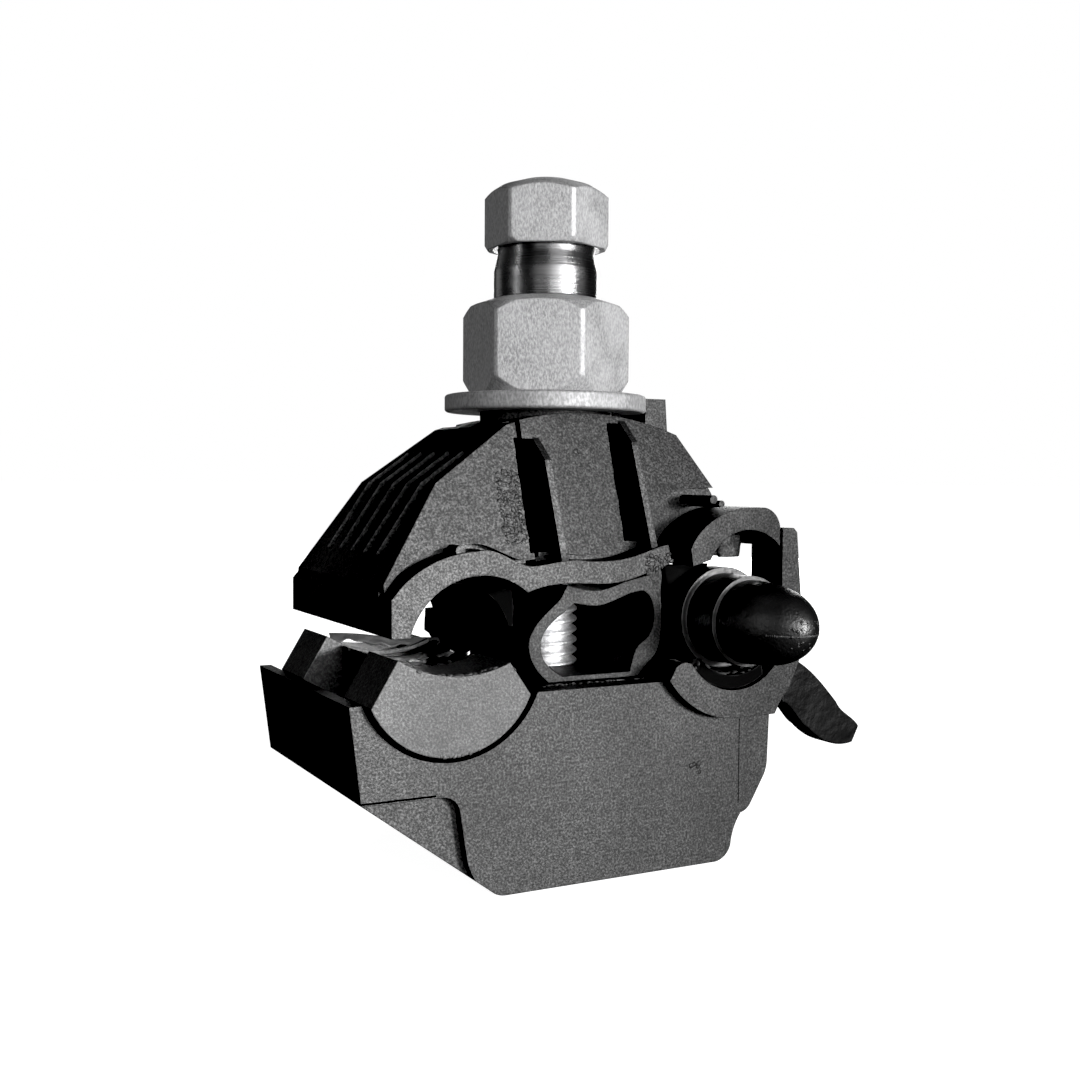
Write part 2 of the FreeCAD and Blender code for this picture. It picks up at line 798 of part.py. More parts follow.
def lip_top_steps(lift):
    """Upper edge of the lip, raised by lift: an arch over the main groove, then a slow wave."""
    left = upper_wall_left
    curves = [
        [(left + 3.7, 7.1), (left + 6.5, 8.2), (left + 9.4, 8.6)],
        [(left + 12.4, 8.2), (left + 14.3, 7.3), (left + 15.8, 6.9)],
        [(-8.6, 7.05), (-6.5, 7.35), (-3.5, 7.3)],
        [(-0.7, 7.25), (1.9, 7.55), (4.5, 8.3), (6.9, 8.9)],
    ]
    steps = [above_foot(left, 3.9 + lift), above_foot(left + 1.1, 5.2 + lift)]
    for curve in curves:
        steps.append([above_foot(x, rise + lift) for x, rise in curve])
    return steps


def lip():
    """Raised rim that follows the top of the main groove and runs on over the centre."""
    steps = lip_top_steps(0.0) + groove_roof_steps()
    front = -lip_half_depth
    return prism(above_foot(upper_wall_left, 0.0), steps, front, front + lip_thickness)


def groove_over_lip():
    """Narrow shadow groove between the lip and the face panels above it."""
    steps = lip_top_steps(lip_groove_width) + [above_foot(7.0, 6.0), above_foot(upper_wall_left - 1, 2.0)]
    start = above_foot(upper_wall_left - 1, 3.9)
    return prism(start, steps, -panel_half_depth - 4, -panel_half_depth + lip_groove_depth)


def tap_arch():
    """Raised horseshoe over the tap groove."""
    inner_left = on_circle(tap_arch_axis, tap_arch_radius, 154)
    left = inner_left[0]
    crown = tap_arch_crown_rise
    outer_curve = (
        (left - 1.45, crown - 2.8),
        (left + 0.55, crown - 1.3),
        (left + 3.05, crown - 0.3),
        (left + 5.25, crown),
    )
    right_curve = (
        (tap_arch_right - 1.2, crown - 0.4),
        (tap_arch_right - 0.4, crown - 1.2),
        (tap_arch_right, crown - 2.4),
    )
    return prism(
        inner_left,
        [
            above_foot(left - 2.35, 6.5),
            above_foot(left - 2.65, 8.4),
            [above_foot(x, rise) for x, rise in outer_curve],
            above_foot(19.4, crown),
            [above_foot(x, rise) for x, rise in right_curve],
            tap_arch_right_end(),
            (on_circle(tap_arch_axis, tap_arch_radius, 90), inner_left),
        ],
        -arch_half_depth,
        -arch_half_depth + arch_thickness,
    )


def arch_recess():
    """Pocket in the face panel that clears the tap arch."""
    left = tap_arch_x - tap_arch_radius - 4.15
    crown = tap_arch_crown_rise
    return prism(
        above_foot(left, 2.0),
        [
            above_foot(left, crown - 2.3),
            above_foot(left + 2.9, crown - 0.1),
            above_foot(left + 2.9, crown + 1.5),
            above_foot(left + 6.8, crown + 2.2),
            above_foot(tap_arch_right + 2.3, crown + 2.2),
            above_foot(tap_arch_right + 2.3, 2.0),
        ],
        -30,
        -tap_core_half_depth,
    )


def face_rib(x_middle, top_rise):
    """Thin upright rib on the face panel, cut off slantwise at its top."""
    foot = upper_foot_height + rib_foot_rise
    top = upper_foot_height + top_rise
    chamfer_z = top - rib_chamfer_drop
    chamfer_y = -(rib_half_depth - rib_lean * (chamfer_z - foot))
    panel_y = -(panel_half_depth - panel_lean * (top_rise - panel_measured_rise))
    points = [
        FreeCAD.Vector(0, -rib_half_depth, foot),
        FreeCAD.Vector(0, chamfer_y, chamfer_z),
        FreeCAD.Vector(0, panel_y, top),
        FreeCAD.Vector(0, -rib_root, top + 1.0),
        FreeCAD.Vector(0, -rib_root, foot),
    ]
    face = Part.Face(Part.makePolygon(points + [points[0]]))
    face.translate(FreeCAD.Vector(x_middle - rib_thickness / 2, 0, 0))
    return face.extrude(FreeCAD.Vector(rib_thickness, 0, 0))


def slope_slots():
    """Row of slots over the two slopes on the left, which leaves fins between them."""
    lower_slope = (shoulder_rise - eave_rise) / (shoulder_x - upper_wall_left)
    upper_slope = (roof_left_rise - shoulder_rise) / (roof_left_x - shoulder_x)
    foot_x = upper_wall_left + (slot_foot_rise - eave_rise) / lower_slope
    top_x = shoulder_x + (slot_top_rise - shoulder_rise) / upper_slope
    outline = [
        above_foot(foot_x, slot_foot_rise),
        above_foot(foot_x + slot_depth, slot_foot_rise - 0.2 * slot_depth),
        above_foot(shoulder_x + 0.8 * slot_depth, shoulder_rise - 0.75 * slot_depth),
        above_foot(top_x + 0.4 * slot_depth, slot_top_rise - slot_depth),
        above_foot(top_x, slot_top_rise + 0.1),
        above_foot(top_x - 8, slot_top_rise + 6),
    ]
    slots = []
    for index in range(slot_count):
        middle = slot_pitch * (index - (slot_count - 1) / 2)
        start = above_foot(foot_x - 3, slot_foot_rise)
        slots.append(prism(start, outline, middle - slot_width / 2, middle + slot_width / 2))
    return slots


def washer_lug():
    """Block beside the washer that keeps it from turning."""
    left = washer_radius - lug_gap
    top = washer_seat_height + washer_thickness - lug_above_washer
    return prism(
        (left, top),
        [
            (left + lug_thickness, top),
            above_foot(left + lug_thickness + lug_flare, lug_foot_rise),
            above_foot(left - 2, lug_foot_rise),
            above_foot(left - 0.2, roof_right_rise - 1),
        ],
        -lug_half_width,
        lug_half_width,
    )


def moulding_pegs():
    """Small ejector pegs left on the lip and above the tap arch."""
    return [
        along_y(above_foot(-18.2, 8.7), 0.55, -lip_half_depth + 0.6, -12.0),
        along_y(above_foot(13.2, 13.9), 0.5, -lip_half_depth + 0.3, -10.0),
        along_y(above_foot(14.3, 13.4), 0.4, -lip_half_depth + 0.3, -10.0),
    ]


def upper_body():
    """Upper jaw moulding: hipped roof, leaning face panels, ribs, lips and tap arches."""
    edge = left_panel_edge
    groove_end = edge + panel_groove_width
    left_trim = front_trim(left_panel_lean, left_panel_half_depth, left_panel_turn, -40, edge)
    right_trim = front_trim(panel_lean, panel_half_depth, 0.0, edge, 30)
    groove_trim = front_trim(panel_lean, panel_half_depth - panel_groove_depth, 0.0, edge, groove_end)
    body = upper_core().cut([both_ends(left_trim), both_ends(right_trim), both_ends(groove_trim)])
    body = body.cut([both_ends(arch_recess()), both_ends(groove_over_lip())])
    pieces = []
    for piece in [lip(), tap_arch()] + [face_rib(x, rise) for x, rise in zip(rib_places, rib_top_rises)]:
        pieces.append(piece)
        pieces.append(mirrored_front_to_back(piece))
    boss = upright(washer_boss_radius, upper_foot_height + 17, washer_seat_height)
    body = body.fuse(pieces + [boss, washer_lug()] + moulding_pegs())
    body = body.cut(upright(washer_radius + 0.3, washer_seat_height, washer_seat_height + 6))
    for slot in slope_slots():
        body = body.cut(slot)
    body = body.cut(upright(bolt_hole_radius, upper_foot_height - 8, washer_seat_height + 8))
    for side in (-1, 1):
        body = body.cut(upper_blade_slot(side * blade_offset))
    return body.removeSplitter()


def upper_main_pad():
    """Rounded seal that hangs in the top of the main groove."""
    outer_radius = main_arch_radius - seal_play
    right = main_cable_x + upper_main_pad_radius
    pad = prism(
        on_circle(main_arch_axis, outer_radius, 158),
        [
            (
                on_circle(main_arch_axis, outer_radius, 105),
                on_circle(main_arch_axis, outer_radius, 50),
            ),
            above_foot(right + 0.2, 4.2),
            above_foot(right + 0.45, 2.0),
            above_foot(right + 0.35, -0.1),
            on_circle(main_cable_axis, upper_main_pad_radius, 14.2),
            (
                on_circle(main_cable_axis, upper_main_pad_radius, 90),
                on_circle(main_cable_axis, upper_main_pad_radius, 157),
            ),
        ],
        -upper_main_pad_half_length,
        upper_main_pad_half_length,
    )
    for side in (-1, 1):
        pad = pad.cut(blade_at(upper_blade_outline(), side * blade_offset, blade_play))
    return pad.removeSplitter()


def upper_tap_pad():
    """Seal block in the roof of the tap groove."""
    y = tap_core_half_depth
    underside = upper_tap_pad_underside
    right = upper_tap_pad_right
    outer = along_y(tap_arch_axis, tap_arch_radius - seal_play, -y, y)
    window = prism(
        (right - 7.3, underside + 0.3),
        [
            ((right - 3.6, underside + 0.5), (right - 0.5, underside)),
            (right, underside + 5.0),
            (right - 9.5, underside + 5.0),
        ],
        -y,
        y,
    )
    pad = outer.common(window)
    for side in (-1, 1):
        pad = pad.cut(blade_at(upper_blade_outline(), side * blade_offset, blade_play))
    return pad.removeSplitter()


def spreader_outside():
    """Outer outline of the jaw spreader: two bulging flanks under a sagging top with an ear at each end."""
    foot = jaw_line_height + spreader_play
    crown = foot + spreader_height
    left = spreader_left
    right = spreader_right
    ear = (left + 4.8, crown)
    top = [(left + 6.4, crown - 0.5), (left + 8.3, crown - 0.75), (right - 6.9, crown - 0.5)]
    right_ear = [(right - 5.3, crown), (right - 3.2, crown + 0.5), (right - 1.6, crown + 0.8)]
    right_flank = [(right - 0.5, crown - 1.7), (right, crown - 3.6), (right, foot + 5.2)]
    right_foot = [(right - 0.5, foot + 2.9), (right - 2.0, foot + 1.2), (right - 3.1, foot)]
    left_foot = [(left + 1.4, foot + 1.0), (left + 0.3, foot + 2.7), (left, foot + 4.6)]
    left_flank = [(left + 0.7, foot + 6.2), (left + 2.0, foot + 7.6), (left + 3.9, foot + 9.2)]
    steps = [top + right_ear, right_flank + right_foot, (left + 2.5, foot), left_foot + left_flank]
    return ear, steps


def spreader_inside():
    """Inner outline of the jaw spreader, about one wall inside the outer one."""
    wall = spreader_wall
    floor = jaw_line_height + spreader_play + spreader_floor
    crown = floor - spreader_floor + spreader_height - wall
    left = spreader_left + wall
    right = spreader_right - 0.65 * wall
    start = (left + 4.1, crown - 0.5)
    top = [(left + 5.1, crown - 0.7), (left + 7.0, crown - 0.9), (right - 5.3, crown - 0.4)]
    right_top = [(right - 3.3, crown + 0.3), (right - 1.5, crown + 0.6)]
    right_flank = [(right - 0.6, crown), (right, crown - 1.4), (right, crown - 3.2)]
    right_foot = [(right - 0.7, floor + 3.9), (right - 2.0, floor + 2.9), (right - 2.8, floor + 1.3)]
    left_foot = [(left + 1.4, floor + 0.8), (left + 0.4, floor + 1.8), (left - 0.1, floor + 3.2)]
    left_flank = [(left, floor + 4.3), (left + 1.0, floor + 5.8), (left + 2.9, floor + 7.2)]
    steps = [
        top + right_top,
        right_flank + right_foot + [(right - 3.1, floor)],
        (left + 2.5, floor),
        left_foot + left_flank,
    ]
    return start, steps


def jaw_spreader():
    """Elastic hollow section round the bolt that keeps the jaws apart."""
    y = spreader_half_depth
    outer_start, outer_steps = spreader_outside()
    inner_start, inner_steps = spreader_inside()
    tube = prism(outer_start, outer_steps, -y, y)
    hollow = prism(inner_start, inner_steps, -y - 1, y + 1)
    return tube.cut(hollow).cut(upright(bolt_hole_radius, jaw_line_height - 10, washer_seat_height))


def end_cap():
    """Rubber cap for the cut end of the tap cable, bullet nose towards the front."""
    collar_front = cap_back - cap_collar_length
    shoulder_front = collar_front - cap_shoulder_length
    tip = shoulder_front - cap_nose_length
    nose_points = [
        (0.0, tip),
        (0.19 * cap_nose_radius, tip + 0.15),
        (0.51 * cap_nose_radius, tip + 1.1),
        (0.79 * cap_nose_radius, tip + 3.0),
        (0.94 * cap_nose_radius, tip + 5.6),
        (cap_nose_radius, tip + 8.6),
    ]
    nose = Part.BSplineCurve()
    nose.interpolate([FreeCAD.Vector(radius, y, 0) for radius, y in nose_points])
    corners = [
        (cap_nose_radius, tip + 8.6),
        (cap_nose_radius, shoulder_front),
        (cap_shoulder_radius, shoulder_front),
        (cap_shoulder_radius, collar_front),
        (cap_collar_radius, collar_front),
        (cap_collar_radius, cap_back),
        (cap_bore_radius, cap_back),
        (cap_bore_radius, cap_back - cap_bore_depth + 2.0),
        (1.2, cap_back - cap_bore_depth),
        (0.0, cap_back - cap_bore_depth),
        (0.0, tip),
    ]
    lines = Part.makePolygon([FreeCAD.Vector(radius, y, 0) for radius, y in corners])
    wire = Part.Wire([nose.toShape()] + lines.Edges)
    solid = Part.Face(wire).revolve(FreeCAD.Vector(0, 0, 0), FreeCAD.Vector(0, 1, 0), 360)
    solid.translate(FreeCAD.Vector(cable_rest_x, 0, cable_rest_axis[1]))
    return solid


def cap_strap():
    """Free end of the rubber strap that ties the cap to the connector."""
    left = strap_root_x
    top = tap_shelf_height + strap_root_rise
    tip_x = left + strap_reach
    upper_curve = [(tip_x - 2.7, top - 2.6), (tip_x - 1.3, top - 3.6), (tip_x, top - 4.8)]
    lower_curve = [(tip_x - 3.1, top - 6.8), (tip_x - 5.5, top - 6.1), (tip_x - 8.1, top - 4.3)]
    return prism(
        (left + 1.9, top + 4.0),
        [
            [(left + 4.2, top + 2.5), (left + 6.6, top + 0.3), (left + 8.3, top - 1.5)],
            upper_curve,
            (tip_x - 1.0, top - 4.8 - 0.9 * strap_thickness),
            lower_curve,
            [(left + 2.2, top - 2.8), (left + 1.0, top - 1.5), (left, top - 0.9)],
            (left, top),
        ],
        -strap_front,
        -strap_front + strap_width,
    )


def build():
    lower_blade = lower_blade_outline()
    upper_blade = upper_blade_outline()
    return {
        "lower_body": lower_body(),
        "upper_body": upper_body(),
        "clamp_bolt": clamp_bolt(),
        "shear_nut": shear_nut(),
        "flat_washer": flat_washer(),
        "main_front_cradle": main_front_cradle(),
        "main_rear_cradle": main_rear_cradle(),
        "lower_main_pad": lower_main_pad(),
        "tap_front_cradle": tap_front_cradle(),
        "tap_rear_cradle": tap_rear_cradle(),
        "lower_tap_pad": lower_tap_pad(),
        "upper_main_pad": upper_main_pad(),
        "upper_tap_pad": upper_tap_pad(),
        "lower_front_blade": blade_at(lower_blade, -blade_offset),
        "lower_rear_blade": blade_at(lower_blade, blade_offset),
        "upper_front_blade": blade_at(upper_blade, -blade_offset),
        "upper_rear_blade": blade_at(upper_blade, blade_offset),
        "jaw_spreader": jaw_spreader(),
        "end_cap": end_cap(),
        "cap_strap": cap_strap(),
    }


os.makedirs("parts", exist_ok=True)
for name, shape in build().items():
    solids = shape.Solids
    print(name, "solids", len(solids), "volume", round(shape.Volume, 1), "valid", shape.isValid())
    if len(solids) == 1:
        shape = solids[0]
    shape.exportStep("parts/" + name + ".step")
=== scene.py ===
# %% [markdown]
# # An insulation piercing connector, ready for its cables
#
# The object is a small clamp for overhead lines: two black nylon jaws, a bolt with a nut that shears
# off at the right torque, rubber cradles for the cables and a rubber cap for the cut cable end.
# Every rigid shape comes from the CAD model. This lesson gives those shapes their finish, rebuilds the
# soft pieces with round edges, cuts the thread of the bolt and sets the camera and lights.

# %% Load the frame
import bpy
import bmesh
import math
import random
from mathutils import Matrix, Vector, noise
from mathutils.bvhtree import BVHTree


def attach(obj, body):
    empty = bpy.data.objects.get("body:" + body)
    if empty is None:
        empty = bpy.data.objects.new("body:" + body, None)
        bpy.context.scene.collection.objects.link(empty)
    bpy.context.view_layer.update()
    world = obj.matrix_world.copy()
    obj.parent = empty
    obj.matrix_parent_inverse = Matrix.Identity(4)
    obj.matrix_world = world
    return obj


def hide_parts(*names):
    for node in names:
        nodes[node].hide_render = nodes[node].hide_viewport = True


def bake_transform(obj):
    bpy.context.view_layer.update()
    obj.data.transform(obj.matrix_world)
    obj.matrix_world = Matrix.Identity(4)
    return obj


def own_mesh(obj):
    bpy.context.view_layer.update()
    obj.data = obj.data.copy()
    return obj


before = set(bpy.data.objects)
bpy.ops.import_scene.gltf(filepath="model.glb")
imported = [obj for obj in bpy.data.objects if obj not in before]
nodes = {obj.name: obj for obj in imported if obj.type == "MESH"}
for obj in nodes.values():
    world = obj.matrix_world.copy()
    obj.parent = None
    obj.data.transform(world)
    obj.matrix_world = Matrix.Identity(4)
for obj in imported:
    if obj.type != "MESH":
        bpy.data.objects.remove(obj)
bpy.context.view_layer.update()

MM = 0.001
scene = bpy.context.scene


# %% [markdown]
# ## The camera
#
# The picture was taken from the left front corner, a little above the middle of the clamp, with a
# normal lens. A camera can be set by eye, but here its place and turn were worked out from points of
# the hexagons, the washer and the jaws, so that the render can be laid over the picture. Blender's
# camera looks along its own -Z, so its three axes are built as columns of a matrix.

# %% Place the camera
camera_place = Vector((-73.03, -137.02, 44.22)) * MM
camera_yaw = math.radians(27.87)
camera_pitch = math.radians(2.742)
camera_roll = math.radians(0.383)
camera_focal_pixels = 1293.0
picture_pixels = 1080.0

forward = Vector((
    math.sin(camera_yaw) * math.cos(camera_pitch),
    math.cos(camera_yaw) * math.cos(camera_pitch),
    -math.sin(camera_pitch),
))
level_right = Vector((math.cos(camera_yaw), -math.sin(camera_yaw), 0.0))
level_up = level_right.cross(forward)
right = level_right * math.cos(camera_roll) + level_up * math.sin(camera_roll)
up = level_up * math.cos(camera_roll) - level_right * math.sin(camera_roll)

camera_data = bpy.data.cameras.new("studio_camera")
camera_data.sensor_width = 36.0
camera_data.lens = 36.0 * camera_focal_pixels / picture_pixels
camera_data.clip_start = 0.005
camera = bpy.data.objects.new("studio_camera", camera_data)
scene.collection.objects.link(camera)
camera.matrix_world = Matrix((
    (right.x, up.x, -forward.x, camera_place.x),
    (right.y, up.y, -forward.y, camera_place.y),
    (right.z, up.z, -forward.z, camera_place.z),
    (0.0, 0.0, 0.0, 1.0),
))
scene.camera = camera


def picture_point(point_mm):
    """Pixel of the square picture at which a point in millimetres appears."""
    offset = Vector(point_mm) * MM - camera_place
    depth = offset.dot(forward)
    x = picture_pixels / 2 + camera_focal_pixels * offset.dot(right) / depth
    y = picture_pixels / 2 - camera_focal_pixels * offset.dot(up) / depth
    return round(x, 1), round(y, 1)


print("bolt axis at the base and at the washer:", picture_point((0, 0, 0)), picture_point((0, 0, 52)))


# %% [markdown]
# ## Floor, world and lights
#
# The clamp stands on a pale floor in front of a white world. The picture was lit from the front by a
# small softbox, low and a little to the right: front faces come out grey, faces to the left and above
# stay nearly black, and each rib throws a short black shadow to its left. A wide, weak fill stands
# beside it, a lamp on the right lifts the right faces of the hexagons, and a weak lamp behind the clamp
# lets its back be seen. A thin strip on the left draws the bright line down the turned neck, and two
# weak cards, one before the clamp on the left and one behind it, are what the hexagons mirror. These
# three only show in gloss, so that the black faces stay black. The world is white to the camera but
# dark in reflections and as a lamp, as black cards make it in a studio. The picture is a contrasty
# print, so the deepest greys are pulled down to black.

# %% Floor and world
floor_half = 9
floor_corners = [(x * floor_half, y * floor_half, 0) for x, y in ((-1, -1), (1, -1), (1, 1), (-1, 1))]
floor_mesh = bpy.data.meshes.new("studio_floor")
floor_mesh.from_pydata(floor_corners, [], [(0, 1, 2, 3)])
studio_floor = bpy.data.objects.new("studio_floor", floor_mesh)
scene.collection.objects.link(studio_floor)

world = bpy.data.worlds.new("studio_world")
scene.world = world
world.use_nodes = True
world_tree = world.node_tree
world_tree.nodes.clear()
world_out = world_tree.nodes.new("ShaderNodeOutputWorld")
world_path = world_tree.nodes.new("ShaderNodeLightPath")


def world_layer(under, ray, strength):
    """Background of one strength for one kind of ray, laid over the shader that serves the others."""
    background = world_tree.nodes.new("ShaderNodeBackground")
    background.inputs["Color"].default_value = (1.0, 1.0, 1.0, 1.0)
    background.inputs["Strength"].default_value = strength
    if under is None:
        return background.outputs["Background"]
    mix = world_tree.nodes.new("ShaderNodeMixShader")
    world_tree.links.new(world_path.outputs[ray], mix.inputs["Fac"])
    world_tree.links.new(under, mix.inputs[1])
    world_tree.links.new(background.outputs["Background"], mix.inputs[2])
    return mix.outputs["Shader"]


matt_light, gloss_light, camera_light = 0.012, 0.05, 1.0
print_black = 0.008
as_lamp = world_layer(None, None, matt_light)
in_gloss = world_layer(as_lamp, "Is Glossy Ray", gloss_light)
to_camera = world_layer(in_gloss, "Is Camera Ray", camera_light)
world_tree.links.new(to_camera, world_out.inputs["Surface"])
view = scene.view_settings
view.view_transform = "Standard"
view.use_curve_mapping = True
view.curve_mapping.black_level = (print_black, print_black, print_black)
view.curve_mapping.update()
print("world layers:", len(world_tree.nodes))


# %% Lamps
clamp_middle = Vector((0, 0, 40)) * MM


def softbox(name, place_mm, width_mm, height_mm, watts):
    """Rectangular lamp aimed at the middle of the clamp."""
    light = bpy.data.lights.new(name, "AREA")
    light.shape = "RECTANGLE"
    light.size = width_mm * MM
    light.size_y = height_mm * MM
    light.energy = watts
    lamp = bpy.data.objects.new(name, light)
    scene.collection.objects.link(lamp)
    place = Vector(place_mm) * MM
    aim = clamp_middle - place
    lamp.matrix_world = Matrix.Translation(place) @ aim.to_track_quat("-Z", "Y").to_matrix().to_4x4()
    return lamp


# Each row: name, place, width and height in mm, watts, and whether it lights matt surfaces.
lamp_table = (
    ("key_lamp", (224, -554, 94), 140, 90, 5.4, True),
    ("fill_lamp", (10, -520, 150), 360, 360, 1.9, True),
    ("side_lamp", (490, -345, 130), 160, 350, 0.1, True),
    ("rear_lamp", (330, 470, 120), 300, 300, 3.0, True),
    ("strip_lamp", (-600, 60, 150), 20, 400, 0.5, False),
    ("back_card", (-225, 556, 90), 260, 360, 0.13, False),
    ("front_card", (-370, -470, 100), 300, 300, 0.3, False),
)
for *softbox_values, lights_matt in lamp_table:
    softbox(*softbox_values).visible_diffuse = lights_matt
print("lamps:", [row[0] for row in lamp_table])


# %% [markdown]
# ## Small tools for materials
#
# A procedural material is a network of nodes. The same few steps come back in all of them, so they
# become short helpers: a node with its fixed values, a noise texture, a node group with named inputs
# and outputs, a new material with its shader, and the bump that ends it. Effects that several finishes
# share are groups; the shader itself stays in each material.

# %% Material helpers
def add_node(tree, kind, place=(0, 0), **values):
    """Node of one kind, with its properties set by name."""
    node = tree.nodes.new(kind)
    node.location = place
    for key, value in values.items():
        setattr(node, key, value)
    return node


def object_point(tree, place=(-900, -300)):
    """Socket with the object's own coordinates."""
    return add_node(tree, "ShaderNodeTexCoord", place).outputs["Object"]


def split_xyz(tree, vector, place=(0, 0)):
    """Sockets X, Y and Z of a vector."""
    node = add_node(tree, "ShaderNodeSeparateXYZ", place)
    tree.links.new(vector, node.inputs["Vector"])
    return node.outputs


def noise_node(tree, vector, scale, place=(0, 0), **values):
    """Value of a noise texture; its scale is a number or a socket, its other inputs are set by name."""
    node = add_node(tree, "ShaderNodeTexNoise", place)
    tree.links.new(vector, node.inputs["Vector"])
    if isinstance(scale, (int, float)):
        node.inputs["Scale"].default_value = scale
    else:
        tree.links.new(scale, node.inputs["Scale"])
    for label, value in values.items():
        node.inputs[label].default_value = value
    return node.outputs["Fac"]


def group_tree(name, inputs, outputs):
    """Empty shader node group; inputs and outputs are (name, socket kind, default) lists."""
    tree = bpy.data.node_groups.new(name, "ShaderNodeTree")
    for label, kind, default in inputs:
        socket = tree.interface.new_socket(name=label, in_out="INPUT", socket_type=kind)
        if default is not None:
            socket.default_value = default
    for label, kind in outputs:
        tree.interface.new_socket(name=label, in_out="OUTPUT", socket_type=kind)
    start = add_node(tree, "NodeGroupInput", (-900, 0))
    end = add_node(tree, "NodeGroupOutput", (900, 0))
    return tree, start, end


def place_group(tree, group, place=(0, 0), **values):
    """One use of a node group, with its input values set by name (underscores stand for spaces)."""
    node = add_node(tree, "ShaderNodeGroup", place, node_tree=group)
    for key, value in values.items():
        node.inputs[key.replace("_", " ")].default_value = value
    return node


def math_node(tree, operation, first, second, place=(0, 0), clamp=False):
    """Math node; each side is a number or a socket."""
    node = add_node(tree, "ShaderNodeMath", place, operation=operation, use_clamp=clamp)
    for index, value in enumerate((first, second)):
        if isinstance(value, (int, float)):
            node.inputs[index].default_value = value
        elif value is not None:
            tree.links.new(value, node.inputs[index])
    return node.outputs[0]


def product(tree, first, second, place=(0, 0), clamp=False):
    """Product of two numbers or sockets."""
    return math_node(tree, "MULTIPLY", first, second, place, clamp)


def ramp(tree, value, low, high, to_low=0.0, to_high=1.0, place=(0, 0)):
    """Value spread from the range low-high to the range to_low-to_high, held inside it."""
    node = add_node(tree, "ShaderNodeMapRange", place)
    tree.links.new(value, node.inputs["Value"])
    node.inputs["From Min"].default_value = low
    node.inputs["From Max"].default_value = high
    node.inputs["To Min"].default_value = to_low
    node.inputs["To Max"].default_value = to_high
    return node.outputs["Result"]


def colour_between(tree, factor, first, second, place=(0, 0)):
    """Mix of two colours; each is a colour or a socket."""
    node = add_node(tree, "ShaderNodeMix", place, data_type="RGBA")
    tree.links.new(factor, node.inputs["Factor"])
    for label, value in (("A", first), ("B", second)):
        socket = [s for s in node.inputs if s.name == label and s.type == "RGBA"][0]
        if isinstance(value, tuple):
            socket.default_value = value
        else:
            tree.links.new(value, socket)
    return [s for s in node.outputs if s.type == "RGBA"][0]


def grey(value):
    """Neutral colour with a trace of blue."""
    return (value, value, value * 1.01, 1.0)


def fresh_material(name, skin_x=600):
    """New material with its shader and its output, as (material, tree, shader)."""
    material = bpy.data.materials.new(name)
    material.use_nodes = True
    tree = material.node_tree
    tree.nodes.clear()
    out = add_node(tree, "ShaderNodeOutputMaterial", (skin_x + 300, 0))
    skin = add_node(tree, "ShaderNodeBsdfPrincipled", (skin_x, 0))
    tree.links.new(skin.outputs["BSDF"], out.inputs["Surface"])
    return material, tree, skin


def bump_skin(tree, skin, height, strength, depth_mm, soft_normal=None):
    """Bump in front of a shader, of a depth in mm, over the true normal or a softened one."""
    bump = add_node(tree, "ShaderNodeBump", (300, -300))
    bump.inputs["Strength"].default_value = strength
    bump.inputs["Distance"].default_value = depth_mm * MM
    tree.links.new(height, bump.inputs["Height"])
    if soft_normal is not None:
        tree.links.new(soft_normal, bump.inputs["Normal"])
    tree.links.new(bump.outputs["Normal"], skin.inputs["Normal"])


print("helpers ready")


# %% [markdown]
# ## Shared effects
#
# Three effects come back on many pieces. Moulded grain: the skin of a moulding follows the sparked
# steel of its mould, which is fine noise in height; the same group gives pale flecks and broad, weak
# clouds. Worn edges: nothing real has a perfectly sharp corner, and corners catch light, which the
# Bevel node finds by comparing the rounded normal with the true one. Face strips: upright bands of the
# front and back faces, for painted shadow beside the ribs, painted highlights on the ribs, painted light
# on the left panel, painted shade on the tap arch and under an overhang, and dark lines.

# %% Group: moulded grain
coarse_scale, coarse_tone = 0.28, 0.22
clouds_per_metre = 90.0
tone_low, tone_high, tone_power = 0.44, 0.78, 1.7
fleck_low, fleck_high = 0.62, 0.78

moulded_grain, start, end = group_tree(
    "moulded_grain",
    [("Grain Size mm", "NodeSocketFloat", 0.25), ("Coarse Share", "NodeSocketFloat", 0.3)],
    [(label, "NodeSocketFloat") for label in ("Height", "Tone", "Fleck", "Cloud")],
)
where = object_point(moulded_grain)
per_metre = math_node(moulded_grain, "DIVIDE", 1000.0, start.outputs["Grain Size mm"], (-700, 200))
fine = noise_node(moulded_grain, where, per_metre, (-450, 200), Detail=3.0, Roughness=0.6)
larger = product(moulded_grain, per_metre, coarse_scale, (-700, -50))
coarse = noise_node(moulded_grain, where, larger, (-450, -100), Detail=2.0)
cloud = noise_node(moulded_grain, where, clouds_per_metre, (-450, -400), Detail=4.0)
coarse_part = product(moulded_grain, coarse, start.outputs["Coarse Share"])
height = math_node(moulded_grain, "ADD", fine, coarse_part, (100, 100))
mixed = product(moulded_grain, coarse, coarse_tone, (-100, 300))
both = math_node(moulded_grain, "ADD", fine, mixed, (100, 300))
even = ramp(moulded_grain, both, tone_low, tone_high, place=(300, 300))
tone = math_node(moulded_grain, "POWER", even, tone_power, (500, 300))
fleck = ramp(moulded_grain, fine, fleck_low, fleck_high, place=(100, -100))
for label, value in (("Height", height), ("Tone", tone), ("Fleck", fleck), ("Cloud", cloud)):
    moulded_grain.links.new(value, end.inputs[label])
print("group", moulded_grain.name, "nodes", len(moulded_grain.nodes))

# %% Group: worn edges
agreement_flat, agreement_worn = 0.995, 0.86
patches_per_metre = 900.0
patch_low, patch_high = 0.42, 0.6

